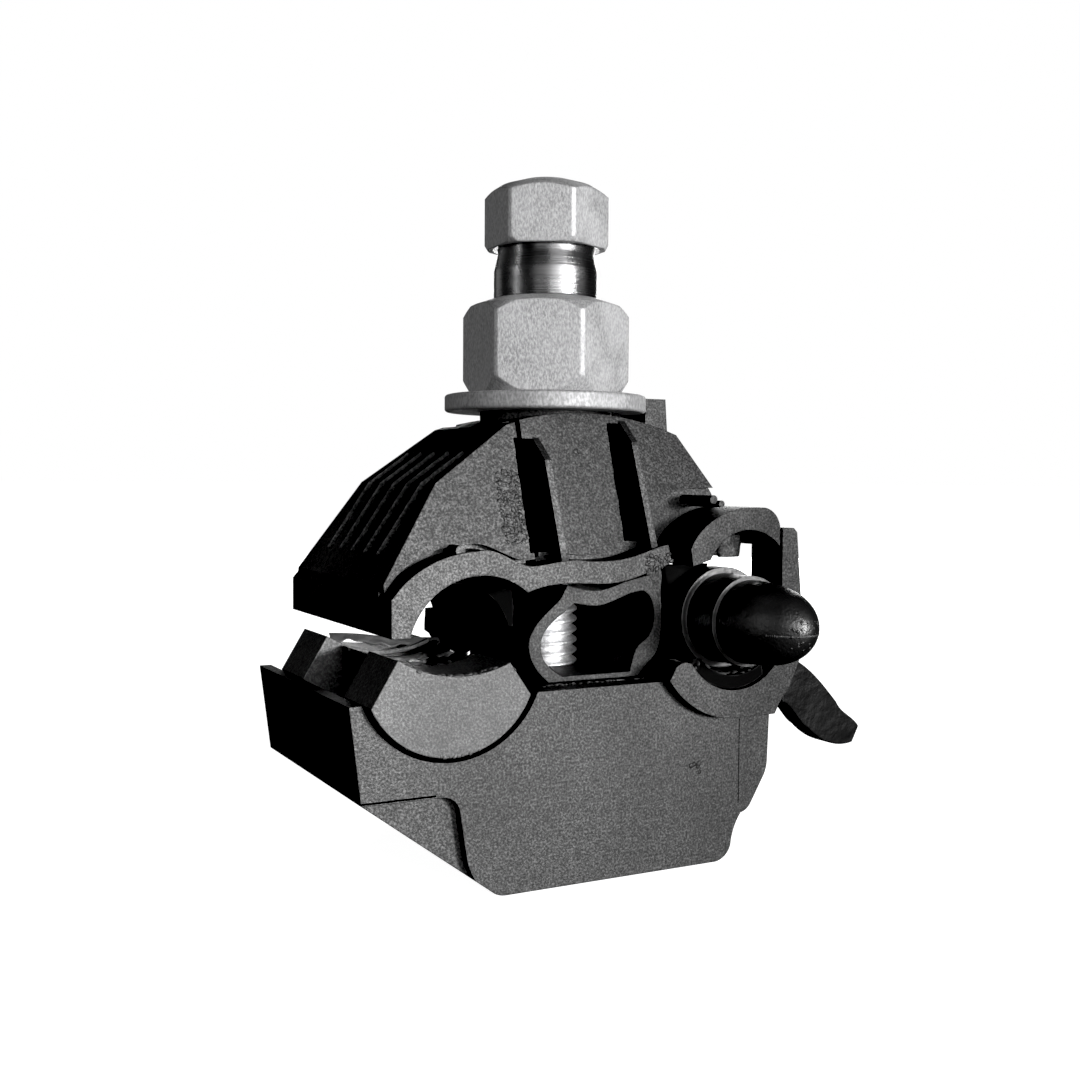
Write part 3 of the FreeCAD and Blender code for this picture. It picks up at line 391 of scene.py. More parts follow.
worn_edges, start, end = group_tree(
    "worn_edges",
    [("Edge Radius", "NodeSocketFloat", 0.0004), ("Breakup", "NodeSocketFloat", 0.5)],
    [("Mask", "NodeSocketFloat"), ("Soft Normal", "NodeSocketVector")],
)
rounded = add_node(worn_edges, "ShaderNodeBevel", (-600, 200), samples=6)
worn_edges.links.new(start.outputs["Edge Radius"], rounded.inputs["Radius"])
true_normal = add_node(worn_edges, "ShaderNodeNewGeometry", (-600, -50))
agree = add_node(worn_edges, "ShaderNodeVectorMath", (-350, 100), operation="DOT_PRODUCT")
worn_edges.links.new(rounded.outputs["Normal"], agree.inputs[0])
worn_edges.links.new(true_normal.outputs["Normal"], agree.inputs[1])
raw = ramp(worn_edges, agree.outputs["Value"], agreement_flat, agreement_worn, place=(-150, 100))
patches = noise_node(worn_edges, object_point(worn_edges), patches_per_metre, (-600, -300), Detail=5.0)
patchy = ramp(worn_edges, patches, patch_low, patch_high, place=(-350, -300))
kept = math_node(worn_edges, "SUBTRACT", 1.0, start.outputs["Breakup"], (-150, -150))
spread = product(worn_edges, patchy, start.outputs["Breakup"], (-150, -300))
share = math_node(worn_edges, "ADD", kept, spread, (50, -200))
mask = product(worn_edges, raw, share, (250, 0), clamp=True)
worn_edges.links.new(mask, end.inputs["Mask"])
worn_edges.links.new(rounded.outputs["Normal"], end.inputs["Soft Normal"])
print("group", worn_edges.name, "nodes", len(worn_edges.nodes))

# %% Group: face strips
tatters_per_metre = 700.0
face_depth = 6 * MM
strip_inputs = (
    ("Left mm", -9.0), ("Right mm", -6.0), ("Bottom mm", 36.0), ("Top mm", 47.0), ("Ragged mm", 0.5)
)

face_strip, start, end = group_tree(
    "face_strip",
    [(label, "NodeSocketFloat", value) for label, value in strip_inputs],
    [("Mask", "NodeSocketFloat")],
)
where = object_point(face_strip)
split = split_xyz(face_strip, where, (-650, 0))
ragged = noise_node(face_strip, where, tatters_per_metre, (-650, -300), Detail=3.0)
shift = product(face_strip, ragged, start.outputs["Ragged mm"], (-450, -300))
along = product(face_strip, split["X"], 1000.0, (-450, 0))
wavy = math_node(face_strip, "ADD", along, shift, (-250, 0))
height = product(face_strip, split["Z"], 1000.0, (-450, 150))
depth = math_node(face_strip, "ABSOLUTE", split["Y"], None, (-450, 300))
past_left = math_node(face_strip, "GREATER_THAN", wavy, start.outputs["Left mm"], (0, 0))
before_right = math_node(face_strip, "LESS_THAN", along, start.outputs["Right mm"], (0, -150))
below_top = math_node(face_strip, "LESS_THAN", height, start.outputs["Top mm"], (0, 150))
above_bottom = math_node(face_strip, "GREATER_THAN", height, start.outputs["Bottom mm"], (0, 300))
on_face = math_node(face_strip, "GREATER_THAN", depth, face_depth, (0, 450))
mask = product(face_strip, past_left, before_right, (250, 0))
for limit in (below_top, above_bottom, on_face):
    mask = product(face_strip, mask, limit, (450, 150))
face_strip.links.new(mask, end.inputs["Mask"])
print("group", face_strip.name, "nodes", len(face_strip.nodes))


def strip_mask(tree, limits, ragged_mm, place=(0, 0)):
    """Mask of one strip; limits are (left, right, bottom, top) in mm, and the left edge can be ragged."""
    strip = place_group(tree, face_strip, place)
    for (label, _default), value in zip(strip_inputs, (*limits, ragged_mm)):
        strip.inputs[label].default_value = value
    return strip.outputs["Mask"]


# %% [markdown]
# ## Black glass-filled nylon
#
# Both jaws are moulded from black nylon filled with short glass fibres. It is matt, and the fibres
# near the skin make fine pale flecks and a slightly rough touch. One noise can give only plain
# roughness, so the grain, the flecks and the worn edges each change a different thing: height, colour
# and gloss.

# %% Material: black nylon
left_end, right_end = -28 * MM, 22 * MM
# Painted shade: the black laid into the dark strips, as shadow beside the ribs and along dark lines.
shade_and_line_black = grey(0.001)


def moulded_black(
    name, base, shine, roughness, depth_mm, contrast,
    fleck_gain=0.5, ends=(1.4, 0.72), dark_strips=(), shine_strips=(), ragged=0.5,
):
    """Matt black moulding: most of its light is a rough surface shine, which the grain breaks up.

    The shine fades at grazing angles, where the grain hides its own crests, and from the left end to the
    right one (ends): painted light, stronger on the left. Dark strips are (left, right, bottom, top) in mm
    of painted shadow and painted shade, and of dark lines, with a left edge as ragged as told, in mm. Shine
    strips have a fifth value, by which the shine there is multiplied: painted highlights and painted shade.
    """
    edge_gain, edge_tone, fleck_tone, cloud_tone, cloud_gain = 0.1, 5.0, 3.0, 1.4, 0.3
    troughs, crests = 1.0 - contrast, 1.0 + 1.9 * contrast
    material, tree, skin = fresh_material(name)
    skin.inputs["IOR"].default_value = 1.5
    grain = place_group(tree, moulded_grain, (-700, 100), Grain_Size_mm=0.25, Coarse_Share=0.3)
    wear = place_group(tree, worn_edges, (-700, -200), Edge_Radius=0.15 * MM, Breakup=0.6)
    dark, light = grey(base * troughs), grey(base * crests)
    grained = colour_between(tree, grain.outputs["Tone"], dark, light, (-400, 250))
    flecked = product(tree, grain.outputs["Fleck"], fleck_gain, (-400, 50))
    colour = colour_between(tree, flecked, grained, grey(base * fleck_tone), (-100, 200))
    cloud = ramp(tree, grain.outputs["Cloud"], 0.35, 0.7, 0.0, cloud_gain, (-400, -100))
    clouded = colour_between(tree, cloud, colour, grey(base * cloud_tone), (50, 100))
    edge = product(tree, wear.outputs["Mask"], edge_gain, (-100, -100))
    worn = colour_between(tree, edge, clouded, grey(base * edge_tone), (250, 150))
    shining = ramp(tree, grain.outputs["Tone"], 0.0, 1.0, shine * troughs, shine * crests, (100, 50))
    view = add_node(tree, "ShaderNodeLayerWeight", (-400, -350))
    facing = ramp(tree, view.outputs["Facing"], 0.2, 0.5, 1.0, 0.08, (-200, -350))
    shining = product(tree, shining, facing, (250, 50))
    split = split_xyz(tree, object_point(tree, (-700, -700)), (-550, -700))
    # Painted light: the shine grows towards the left end and fades towards the right, as if more light fell
    # on the left.
    painted_left_light = ramp(tree, split["X"], left_end, right_end, ends[0], ends[1], (-400, -700))
    shining = product(tree, shining, painted_left_light, (300, 50))
    # Painted highlights and painted shade: each shine strip multiplies the shine in its band.
    for *limits, gain in shine_strips:
        painted_light_gain = ramp(tree, strip_mask(tree, limits, 0.0, (-400, -900)), 0.0, 1.0, 1.0, gain, (-200, -900))
        shining = product(tree, shining, painted_light_gain, (320, 50))
    # Painted shadow and shade: each dark strip turns the colour black and takes its shine away.
    for limits in dark_strips:
        shade_and_line_mask = strip_mask(tree, limits, ragged, (-400, -500))
        off_shade_and_line = math_node(tree, "SUBTRACT", 1.0, shade_and_line_mask, (-200, -500))
        shining = product(tree, shining, off_shade_and_line, (350, 50))
        worn = colour_between(tree, shade_and_line_mask, worn, shade_and_line_black, (350, 200))
    tree.links.new(worn, skin.inputs["Base Color"])
    tree.links.new(shining, skin.inputs["Specular IOR Level"])
    gloss = ramp(tree, grain.outputs["Cloud"], 0.3, 0.7, roughness - 0.06, roughness + 0.08, (100, -50))
    tree.links.new(gloss, skin.inputs["Roughness"])
    bump_skin(tree, skin, grain.outputs["Height"], 1.0, depth_mm, wear.outputs["Soft Normal"])
    return material


# Dark lines on the lower body: painted shade under the overhanging edge above the lower-left recess, and a
# dark line down the right flank.
overhang_shade_and_flank_line = ((-29.5, -20.9, 11.4, 11.62), (17.32, 17.4, 6.5, 16.4))
# Painted shadow: black strips just left of each rib, where the rib's shadow falls.
rib_shadow_strips = ((-9.2, -6.5, 36.2, 48.6), (3.6, 5.1, 37.2, 50.6))
# Shine strips: painted highlights down the fronts of both ribs, painted light on the left panel and painted
# shade on the tap arch.
left_rib_highlight = (-6.55, -5.65, 36.2, 46.4, 2.1)
right_rib_highlight = (5.05, 5.95, 37.2, 48.0, 2.1)
left_panel_light = (-30.0, -6.6, 36.3, 53.0, 1.2)
tap_arch_shade = (11.5, 27.0, 28.0, 41.5, 0.84)
black_nylon = moulded_black(
    "black_nylon", 0.012, 0.55, 0.56, 0.05, 0.48, dark_strips=overhang_shade_and_flank_line, ragged=0.06
)
jaw_nylon = moulded_black(
    "jaw_nylon", 0.012, 0.44, 0.56, 0.05, 0.5, ends=(1.9, 0.62),
    dark_strips=rib_shadow_strips, shine_strips=(left_rib_highlight, right_rib_highlight, left_panel_light, tap_arch_shade),
)
cradle_rubber = moulded_black("cradle_rubber", 0.05, 0.58, 0.55, 0.04, 0.32, fleck_gain=0.1)
post_rubber = moulded_black("post_rubber", 0.01, 0.5, 0.58, 0.03, 0.5, fleck_gain=0.25)
bell_rubber = moulded_black("bell_rubber", 0.01, 0.42, 0.55, 0.03, 0.45, fleck_gain=0.25)
print("mouldings:", black_nylon.name, jaw_nylon.name, cradle_rubber.name, post_rubber.name, bell_rubber.name)


# %% [markdown]
# ## Smooth rubber and greased rubber
#
# The end cap and its strap are smooth rubber with a soft shine. The pads inside the grooves are the
# same rubber wet with sealing grease: where the grease lies thick, the surface is glossy and lumpy.
# A mask of large noise says where it lies, and drives the coat and the height together.

# %% Material: smooth rubber
def smooth_rubber(name, base, shine, roughness, depth_mm=0.012, grain_mm=0.35):
    """Black rubber with a soft shine, weak at grazing angles, and moulding marks of some depth."""
    cloud_tone, rim_wear_and_highlight_tone, grazing_share = 1.7, 30.0, 0.15
    material, tree, skin = fresh_material(name)
    view = add_node(tree, "ShaderNodeLayerWeight", (0, -500))
    facing = ramp(tree, view.outputs["Facing"], 0.25, 0.6, shine, shine * grazing_share, (200, -500))
    tree.links.new(facing, skin.inputs["Specular IOR Level"])
    grain = place_group(tree, moulded_grain, (-600, 100), Grain_Size_mm=grain_mm, Coarse_Share=1.2)
    wear = place_group(tree, worn_edges, (-600, -200), Edge_Radius=0.25 * MM, Breakup=0.8)
    cloud_mix = ramp(tree, grain.outputs["Cloud"], 0.35, 0.7)
    colour = colour_between(tree, cloud_mix, grey(base), grey(base * cloud_tone), (0, 200))
    # Rims come out lighter: worn rubber, and a painted highlight along every rim.
    worn_and_highlit_rims = colour_between(tree, wear.outputs["Mask"], colour, grey(base * rim_wear_and_highlight_tone), (200, 200))
    tree.links.new(worn_and_highlit_rims, skin.inputs["Base Color"])
    gloss = ramp(tree, grain.outputs["Cloud"], 0.3, 0.7, roughness - 0.05, roughness + 0.1, (100, 0))
    tree.links.new(gloss, skin.inputs["Roughness"])
    bump_skin(tree, skin, grain.outputs["Height"], 0.6, depth_mm, wear.outputs["Soft Normal"])
    return material


cap_rubber = smooth_rubber("cap_rubber", 0.004, 0.75, 0.39, depth_mm=0.12)
strap_rubber = smooth_rubber("strap_rubber", 0.002, 0.1, 0.4, depth_mm=0.3, grain_mm=2.2)
# Painted shade: near-black rubber with almost no shine, for the pads and seal lips that lie in deep shade.
shade_black_rubber = smooth_rubber("shade_black_rubber", 0.001, 0.04, 0.6)
print("rubber:", cap_rubber.name, strap_rubber.name, shade_black_rubber.name)


# %% Material: greased rubber
def greased_rubber(name, base, shine):
    """Rubber with wet, lumpy patches of sealing grease."""
    lumps_per_metre, most_wet = 420.0, 0.5
    material, tree, skin = fresh_material(name)
    skin.inputs["Coat Roughness"].default_value = 0.16
    skin.inputs["Specular IOR Level"].default_value = shine
    lumps = noise_node(tree, object_point(tree), lumps_per_metre, (-650, 0), Detail=6.0, Distortion=1.2)
    wet = ramp(tree, lumps, 0.56, 0.64, 0.0, most_wet, (-400, 0))
    colour = colour_between(tree, wet, grey(base), grey(base * 2.0), (0, 200))
    tree.links.new(colour, skin.inputs["Base Color"])
    tree.links.new(wet, skin.inputs["Coat Weight"])
    gloss = ramp(tree, wet, 0.0, most_wet, 0.6, 0.3, (0, 0))
    tree.links.new(gloss, skin.inputs["Roughness"])
    bump_skin(tree, skin, lumps, 0.8, 0.15)
    return material


pad_rubber = greased_rubber("pad_rubber", 0.003, 0.12)
wet_grease = greased_rubber("wet_grease", 0.06, 0.5)
print("greased:", pad_rubber.name, wet_grease.name)


# %% [markdown]
# ## Zinc-plated steel
#
# The nut is die-cast or forged, plated and then turned at its neck, so its hexagons are dull with fine
# scratches while the neck shines. The bolt and the washer are plated too, the washer with a satin face.
# One function makes them all, from dull to bright, and the nut's material blends two finishes by
# height and radius, which it reads from the object's own coordinates.

# %% Material: plated steel
def plated_steel(name, tone, roughness, scratch_mm, scratch_depth_mm, turned=None):
    """Plated steel; turned is (low z, high z, outer radius) in mm of a part turned bright on a lathe."""
    blotches_per_metre, rings_per_metre, neck_roughness = 260.0, 9000.0, 0.24
    material, tree, skin = fresh_material(name, 800)
    skin.inputs["Metallic"].default_value = 1.0
    where = object_point(tree, (-1200, 0))
    wear = place_group(tree, worn_edges, (-600, -300), Edge_Radius=0.34 * MM, Breakup=0.6)
    stretch = add_node(tree, "ShaderNodeMapping", (-950, 200))
    stretch.inputs["Scale"].default_value = (1.0, 1.0, 0.5)
    stretch.inputs["Rotation"].default_value = (0.3, 0.2, 0.0)
    tree.links.new(where, stretch.inputs["Vector"])
    scratches = noise_node(tree, stretch.outputs["Vector"], 1000.0 / scratch_mm, (-700, 200), Detail=4.0)
    blotches = noise_node(tree, where, blotches_per_metre, (-700, -50), Detail=5.0)
    blotch = ramp(tree, blotches, 0.35, 0.65, place=(-450, -50))
    colour = colour_between(tree, blotch, grey(tone * 0.78), grey(tone), (-200, 200))
    streak = ramp(tree, scratches, 0.36, 0.66, 0.0, 0.8, (-450, 300))
    scored = colour_between(tree, streak, colour, grey(tone * 1.5), (-50, 300))
    bright = colour_between(tree, wear.outputs["Mask"], scored, grey(tone * 0.55), (50, 200))
    gloss = ramp(tree, blotches, 0.3, 0.7, roughness - 0.06, roughness + 0.1, (-200, -100))
    height = scratches
    if turned is not None:
        low, high, outer = turned
        split = split_xyz(tree, where, (-950, -400))
        flat = add_node(tree, "ShaderNodeCombineXYZ", (-750, -500))
        for axis in ("X", "Y"):
            tree.links.new(split[axis], flat.inputs[axis])
        radius = add_node(tree, "ShaderNodeVectorMath", (-550, -500), operation="LENGTH")
        tree.links.new(flat.outputs["Vector"], radius.inputs[0])
        above = math_node(tree, "GREATER_THAN", split["Z"], low * MM, (-350, -400))
        below = math_node(tree, "LESS_THAN", split["Z"], high * MM, (-350, -550))
        inside = math_node(tree, "LESS_THAN", radius.outputs["Value"], outer * MM, (-350, -700))
        on_neck = product(tree, product(tree, above, below), inside)
        rings = add_node(tree, "ShaderNodeTexNoise", (-350, -900), noise_dimensions="1D")
        rings.inputs["Scale"].default_value = rings_per_metre
        tree.links.new(split["Z"], rings.inputs["W"])
        bright = colour_between(tree, on_neck, bright, grey(tone * 0.45), (250, 200))
        neck_gloss = product(tree, on_neck, neck_roughness - roughness, (100, -300))
        gloss = math_node(tree, "ADD", gloss, neck_gloss, (300, -200))
        plain = math_node(tree, "SUBTRACT", 1.0, on_neck, (100, -500))
        off_neck_height = product(tree, height, plain, (300, -500))
        neck_height = product(tree, rings.outputs["Fac"], on_neck, (300, -650))
        height = math_node(tree, "ADD", off_neck_height, neck_height, (450, -550))
    tree.links.new(bright, skin.inputs["Base Color"])
    tree.links.new(gloss, skin.inputs["Roughness"])
    bump_skin(tree, skin, height, 1.0, scratch_depth_mm, wear.outputs["Soft Normal"])
    return material


nut_steel = plated_steel("nut_steel", 0.4, 0.68, 0.2, 0.03, turned=(65.2, 71.3, 6.35))
washer_steel = plated_steel("washer_steel", 0.36, 0.74, 0.25, 0.01)
bolt_steel = plated_steel("bolt_steel", 0.7, 0.42, 0.3, 0.003)
blade_metal = plated_steel("blade_metal", 0.6, 0.28, 0.2, 0.004)
print("metals:", nut_steel.name, washer_steel.name, bolt_steel.name, blade_metal.name)


# %% [markdown]
# ## Finish on the rigid pieces
#
# A CAD node keeps its mesh and its shading, and only gets a material.

# %% Dress the rigid nodes
finish_of = {
    "lower_body": black_nylon,
    "upper_body": jaw_nylon,
    "shear_nut": nut_steel,
    "flat_washer": washer_steel,
    "tap_front_cradle": post_rubber,
    "tap_rear_cradle": post_rubber,
    "lower_tap_pad": shade_black_rubber,
    "upper_main_pad": shade_black_rubber,
    "upper_tap_pad": post_rubber,
    "lower_front_blade": blade_metal,
    "lower_rear_blade": blade_metal,
    "upper_front_blade": blade_metal,
    "upper_rear_blade": blade_metal,
}
for name, material in finish_of.items():
    mesh = nodes[name].data
    mesh.materials.clear()
    mesh.materials.append(material)
print("dressed nodes:", len(finish_of))


# %% [markdown]
# ## Soft pieces
#
# The cradles, the pad under the main cable, the spreader between the jaws, the cap and its strap are
# rubber, and rubber has round edges that a CAD solid lacks. Sculpting them anew would lose their fit,
# so each is a copy of its solid: the flat faces are joined back into large ones, the sharp edges are
# rounded by a bevel, and the copy stands for the node.

# %% Rounded copies
def rounded_copy(node_name, round_mm, material, body):
    """Copy of a CAD solid with rounded edges, which stands for its node."""
    merge_mm, flat_degrees, sharp_degrees = 0.002, 1.0, 28.0
    mesh = nodes[node_name].data.copy()
    mesh.name = node_name + "_soft"
    work = bmesh.new()
    work.from_mesh(mesh)
    bmesh.ops.remove_doubles(work, verts=work.verts, dist=merge_mm * MM)
    bmesh.ops.dissolve_limit(
        work, angle_limit=math.radians(flat_degrees), verts=work.verts, edges=work.edges, delimit={"SHARP"}
    )
    work.to_mesh(mesh)
    work.free()
    piece = bpy.data.objects.new(node_name + "_soft", mesh)
    scene.collection.objects.link(piece)
    mesh.materials.clear()
    mesh.materials.append(material)
    bevel = piece.modifiers.new("round edges", "BEVEL")
    bevel.width = round_mm * MM
    bevel.segments = 3
    bevel.limit_method = "ANGLE"
    bevel.angle_limit = math.radians(sharp_degrees)
    flat = piece.modifiers.new("flat faces stay flat", "WEIGHTED_NORMAL")
    flat.weight = 100
    flat.keep_sharp = True
    mesh.shade_smooth()
    graph = bpy.context.evaluated_depsgraph_get()
    final = bpy.data.meshes.new_from_object(piece.evaluated_get(graph))
    piece.modifiers.clear()
    piece.data = final
    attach(piece, body)
    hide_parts(node_name)
    print(piece.name, "faces", len(final.polygons))
    return piece


front_cradle = rounded_copy("main_front_cradle", 0.15, cradle_rubber, "lower_jaw")
rear_cradle = rounded_copy("main_rear_cradle", 0.15, cradle_rubber, "lower_jaw")
cable_pad = rounded_copy("lower_main_pad", 0.2, pad_rubber, "lower_jaw")
spreader = rounded_copy("jaw_spreader", 0.12, bell_rubber, "lower_jaw")
cap = rounded_copy("end_cap", 0.25, cap_rubber, "cap")
rounded_copy("cap_strap", 0.45, strap_rubber, "lower_jaw")

# %% [markdown]
# ### Own meshes for the squeezed pieces
#
# When the nut pulls the upper jaw down, these pieces are squeezed, and so is the cap while it is stored
# in its groove. The spreader is held between the jaws. Here the cradles, the pad and the cap each get a
# mesh of their own, and the spreader is taken off the lower jaw, with its place baked into its mesh.

# %% Give the soft pieces meshes of their own
for piece, anchor_z, keep in (
    (front_cradle, 15.6, 0.57),
    (rear_cradle, 15.6, 0.57),
    (cable_pad, 14.9, 0.67),
):
    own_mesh(piece)
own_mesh(cap)
spreader.parent = None
spreader.matrix_world = Matrix.Identity(4)
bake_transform(spreader)


# %% [markdown]
# ## Seal lips between the jaws
#
# The picture shows black, not the white background, between the spreader and the cap and at the back of
# the main groove. Thin lips of sealing rubber close those gaps on the real clamp. Each is a sheet drawn
# row by row from its foot to its head, with a rippled face. It stretches between the jaws. The front end
# of the tap pad is drawn in the same way.
# The lips are drawn near black: painted shade that fills those dark gaps.

# %% Sheets and pieces
def close_sheet(work, front, back):
    """Faces over both sides of a sheet and round its rim; front and back are grids of vertices."""
    rows, across = len(front) - 1, len(front[0]) - 1
    for row in range(rows):
        for step in range(across):
            for grid in (front, back):
                low, high = grid[row], grid[row + 1]
                work.faces.new((low[step], low[step + 1], high[step + 1], high[step]))
        for step in (0, across):
            work.faces.new((front[row][step], front[row + 1][step], back[row + 1][step], back[row][step]))
    for row in (0, rows):
        for step in range(across):
            work.faces.new((front[row][step], back[row][step], back[row][step + 1], front[row][step + 1]))
    bmesh.ops.recalc_face_normals(work, faces=work.faces)


def piece_from(work, name, material):
    """Smooth object made from a finished bmesh, with its material."""
    mesh = bpy.data.meshes.new(name)
    work.to_mesh(mesh)
    work.free()
    mesh.shade_smooth()
    mesh.materials.append(material)
    piece = bpy.data.objects.new(name, mesh)
    scene.collection.objects.link(piece)
    print(name, "faces", len(mesh.polygons))
    return piece


# %% Seal lips
def seal_lip(name, rows, front_mm, thick_mm, seed, material=shade_black_rubber):
    """Rippled rubber sheet; rows are (height, left, right) in mm from the foot to the head."""
    across, between = 10, 5
    ripple_mm, ripples_per_mm, rim_share = 0.35, 0.6, 0.3
    spread = []
    for (low, left, right_edge), (high, next_left, next_right) in zip(rows, rows[1:]):
        for step in range(between):
            share = step / between
            spread.append((
                low + (high - low) * share,
                left + (next_left - left) * share,
                right_edge + (next_right - right_edge) * share,
            ))
    spread.append(rows[-1])
    work = bmesh.new()
    sides = []
    for side in (-1, 1):
        grid = []
        for height, left, right_edge in spread:
            line = []
            for step in range(across + 1):
                share = step / across
                x = left + (right_edge - left) * share
                ripple = ripple_mm * noise.noise(Vector((x * ripples_per_mm, height * ripples_per_mm, seed)))
                pinch = 1.0 - (2.0 * share - 1.0) ** 4
                y = front_mm + ripple + side * thick_mm / 2 * (rim_share + (1.0 - rim_share) * pinch)
                line.append(work.verts.new((x * MM, y * MM, height * MM)))
            grid.append(line)
        sides.append(grid)
    close_sheet(work, *sides)
    return piece_from(work, name, material)


# Painted shade: near-black sheets across the dark gaps beside the cap and at the back of the main groove.
tap_lip = seal_lip(
    "tap_seal_lip",
    [(24.6, 9.5, 12.6), (29.0, 9.5, 13.2), (33.0, 9.5, 13.6), (33.6, 9.4, 15.7), (34.3, 9.4, 15.9)],
    front_mm=-11.3, thick_mm=0.8, seed=3.1,
)
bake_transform(tap_lip)
main_lip = seal_lip(
    "main_seal_lip",
    [(21.8, -10.4, -6.1), (23.2, -10.6, -6.4), (25.3, -11.7, -8.4), (25.7, -12.3, -8.6), (28.4, -12.2, -8.7)],
    front_mm=7.6, thick_mm=0.7, seed=8.4,
)
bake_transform(main_lip)
pad_end = seal_lip(
    "tap_pad_end",
    [(35.1, 16.2, 19.0), (35.9, 16.0, 19.2), (36.9, 16.1, 19.5), (37.8, 16.9, 19.8)],
    front_mm=-13.0, thick_mm=0.9, seed=5.7, material=post_rubber,
)
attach(pad_end, "upper_jaw")
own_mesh(pad_end)


# %% [markdown]
# ## Grease, flash and marks
#
# Small things tell that the clamp is real: lumps of sealing grease on the cradle's edge, crumbs along the
# foot of the spreader, a rough gate mark on the left panel, a parting line on the cap, scuffs. They could
# be painted as bumps, but lumps on an edge change its outline, so they are meshes. Each lump is dropped
# onto the piece that carries it: a ray from outside finds the surface, and the lump lies flat on it.

# %% Lumps
lump_chance = random.Random(7)
in_front, over_cap, overhead = (-20, -20), (-34, -34), (40, 40)
inward, down = (0, 1, 0), (0, 0, -1)


def lump_cluster(name, carrier, spots, way, material):
    """Flat lumps where rays meet a carrier; a spot is (x, y, z, radius) in mm, way the ray's direction."""
    flatness, bulge_share, bulges_per_metre = 0.38, 0.45, 2200.0
    tree = BVHTree.FromObject(carrier, bpy.context.evaluated_depsgraph_get())
    to_local = carrier.matrix_world.inverted()
    direction = Vector(way).normalized()
    work = bmesh.new()
    for x, y, z, radius in spots:
        origin = Vector((x, y, z)) * MM
        place, normal, _index, _gap = tree.ray_cast(to_local @ origin, to_local.to_3x3() @ direction)
        if place is None:
            continue
        place = carrier.matrix_world @ place
        normal = (carrier.matrix_world.to_3x3() @ normal).normalized()
        made = bmesh.ops.create_icosphere(work, subdivisions=2, radius=radius * MM)
        turn = normal.to_track_quat("Z", "Y").to_matrix()
        spin = Matrix.Rotation(lump_chance.uniform(0, 2 * math.pi), 3, "Z")
        long = lump_chance.uniform(0.8, 1.7)
        phase = lump_chance.uniform(0, 50)
        for vertex in made["verts"]:
            bulge = 1.0 + bulge_share * noise.noise(vertex.co * bulges_per_metre + Vector((phase, 0, 0)))
            shape = Vector((vertex.co.x * long, vertex.co.y, vertex.co.z * flatness)) * bulge
            vertex.co = turn @ (spin @ shape) + place
    return piece_from(work, name, material)


def scattered(count, x_range, y_range, z_range, sizes):
    """Random spots in a box, in mm, with a radius from a range of sizes."""
    spans = (x_range, y_range, z_range, sizes)
    return [tuple(lump_chance.uniform(*span) for span in spans) for _count in range(count)]


# %% Grease
trough_spots = scattered(50, (-22.5, -13.2), (-8.8, -2.0), overhead, (0.25, 0.8))
trough_grease = lump_cluster("trough_grease", cable_pad, trough_spots, down, wet_grease)
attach(trough_grease, "lower_jaw")
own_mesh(trough_grease)
edge_spots = scattered(44, (-24.5, -12.5), (-17.55, -16.2), overhead, (0.15, 0.42))
edge_grease = lump_cluster("edge_grease", front_cradle, edge_spots, down, wet_grease)
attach(edge_grease, "lower_jaw")
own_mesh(edge_grease)

# %% Marks on the cap
seam_spots = [(12.4 + 0.12 * step, over_cap[0], 27.6, 0.11) for step in range(60)]
nose_spots = seam_spots + scattered(22, (14.2, 18.0), over_cap, (26.0, 29.4), (0.07, 0.2))
nose_marks = lump_cluster("nose_marks", cap, nose_spots, inward, cap_rubber)
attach(nose_marks, "cap")
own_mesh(nose_marks)

# %% Crumbs
foot_spots = scattered(46, (-7.0, 8.8), (-13.2, -12.4), (23, 23), (0.1, 0.26))
foot_crumbs = lump_cluster("foot_crumbs", nodes["lower_body"], foot_spots, down, wet_grease)
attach(foot_crumbs, "lower_jaw")
groove_x, groove_z = -19.05, 25.5
ring_spots = []
for _count in range(60):
    turn = math.radians(lump_chance.uniform(250, 335))
    reach = lump_chance.uniform(9.6, 9.95)
    x, z = groove_x + reach * math.cos(turn), groove_z + reach * math.sin(turn)
    ring_spots.append((x, in_front[0], z, lump_chance.uniform(0.06, 0.2)))
ring_crumbs = lump_cluster("ring_crumbs", front_cradle, ring_spots, inward, wet_grease)
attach(ring_crumbs, "lower_jaw")
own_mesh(ring_crumbs)
tap_spots = scattered(26, (10.5, 20.5), (-16.9, -15.0), overhead, (0.15, 0.45))
tap_grease = lump_cluster("tap_grease", nodes["lower_tap_pad"], tap_spots, down, wet_grease)
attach(tap_grease, "lower_jaw")

# %% Scuffs and rough spots
scuff_spots = scattered(7, (10.2, 12.0), in_front, (10.6, 11.9), (0.14, 0.32))
scuffs = lump_cluster("front_scuffs", nodes["lower_body"], scuff_spots, inward, black_nylon)
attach(scuffs, "lower_jaw")
gate_spots = scattered(230, (-12.2, -9.5), in_front, (37.2, 45.0), (0.07, 0.24))
gate_mark = lump_cluster("gate_mark", nodes["upper_body"], gate_spots, inward, jaw_nylon)
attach(gate_mark, "upper_jaw")
end_spots = scattered(40, (4.0, 7.4), in_front, (33.6, 36.0), (0.12, 0.3))
end_spots += [(-1.2, in_front[0], 47.3, 0.3), (-1.0, in_front[0], 46.9, 0.2)]
lip_marks = lump_cluster("lip_marks", nodes["upper_body"], end_spots, inward, black_nylon)
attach(lip_marks, "upper_jaw")


# %% [markdown]
# ### The torn film
#
# A thin greasy film hangs across the back of the main groove in the picture. It is a ribbon along a
# curve through a few points, wavier at its lower edge than at its upper one.

# %% Torn film
film_path = [
    (-24.2, 8.2, 25.9),
    (-21.4, 7.2, 25.8),
    (-17.8, 6.2, 25.4),
    (-14.4, 5.4, 25.2),
    (-11.6, 5.0, 25.1),
]


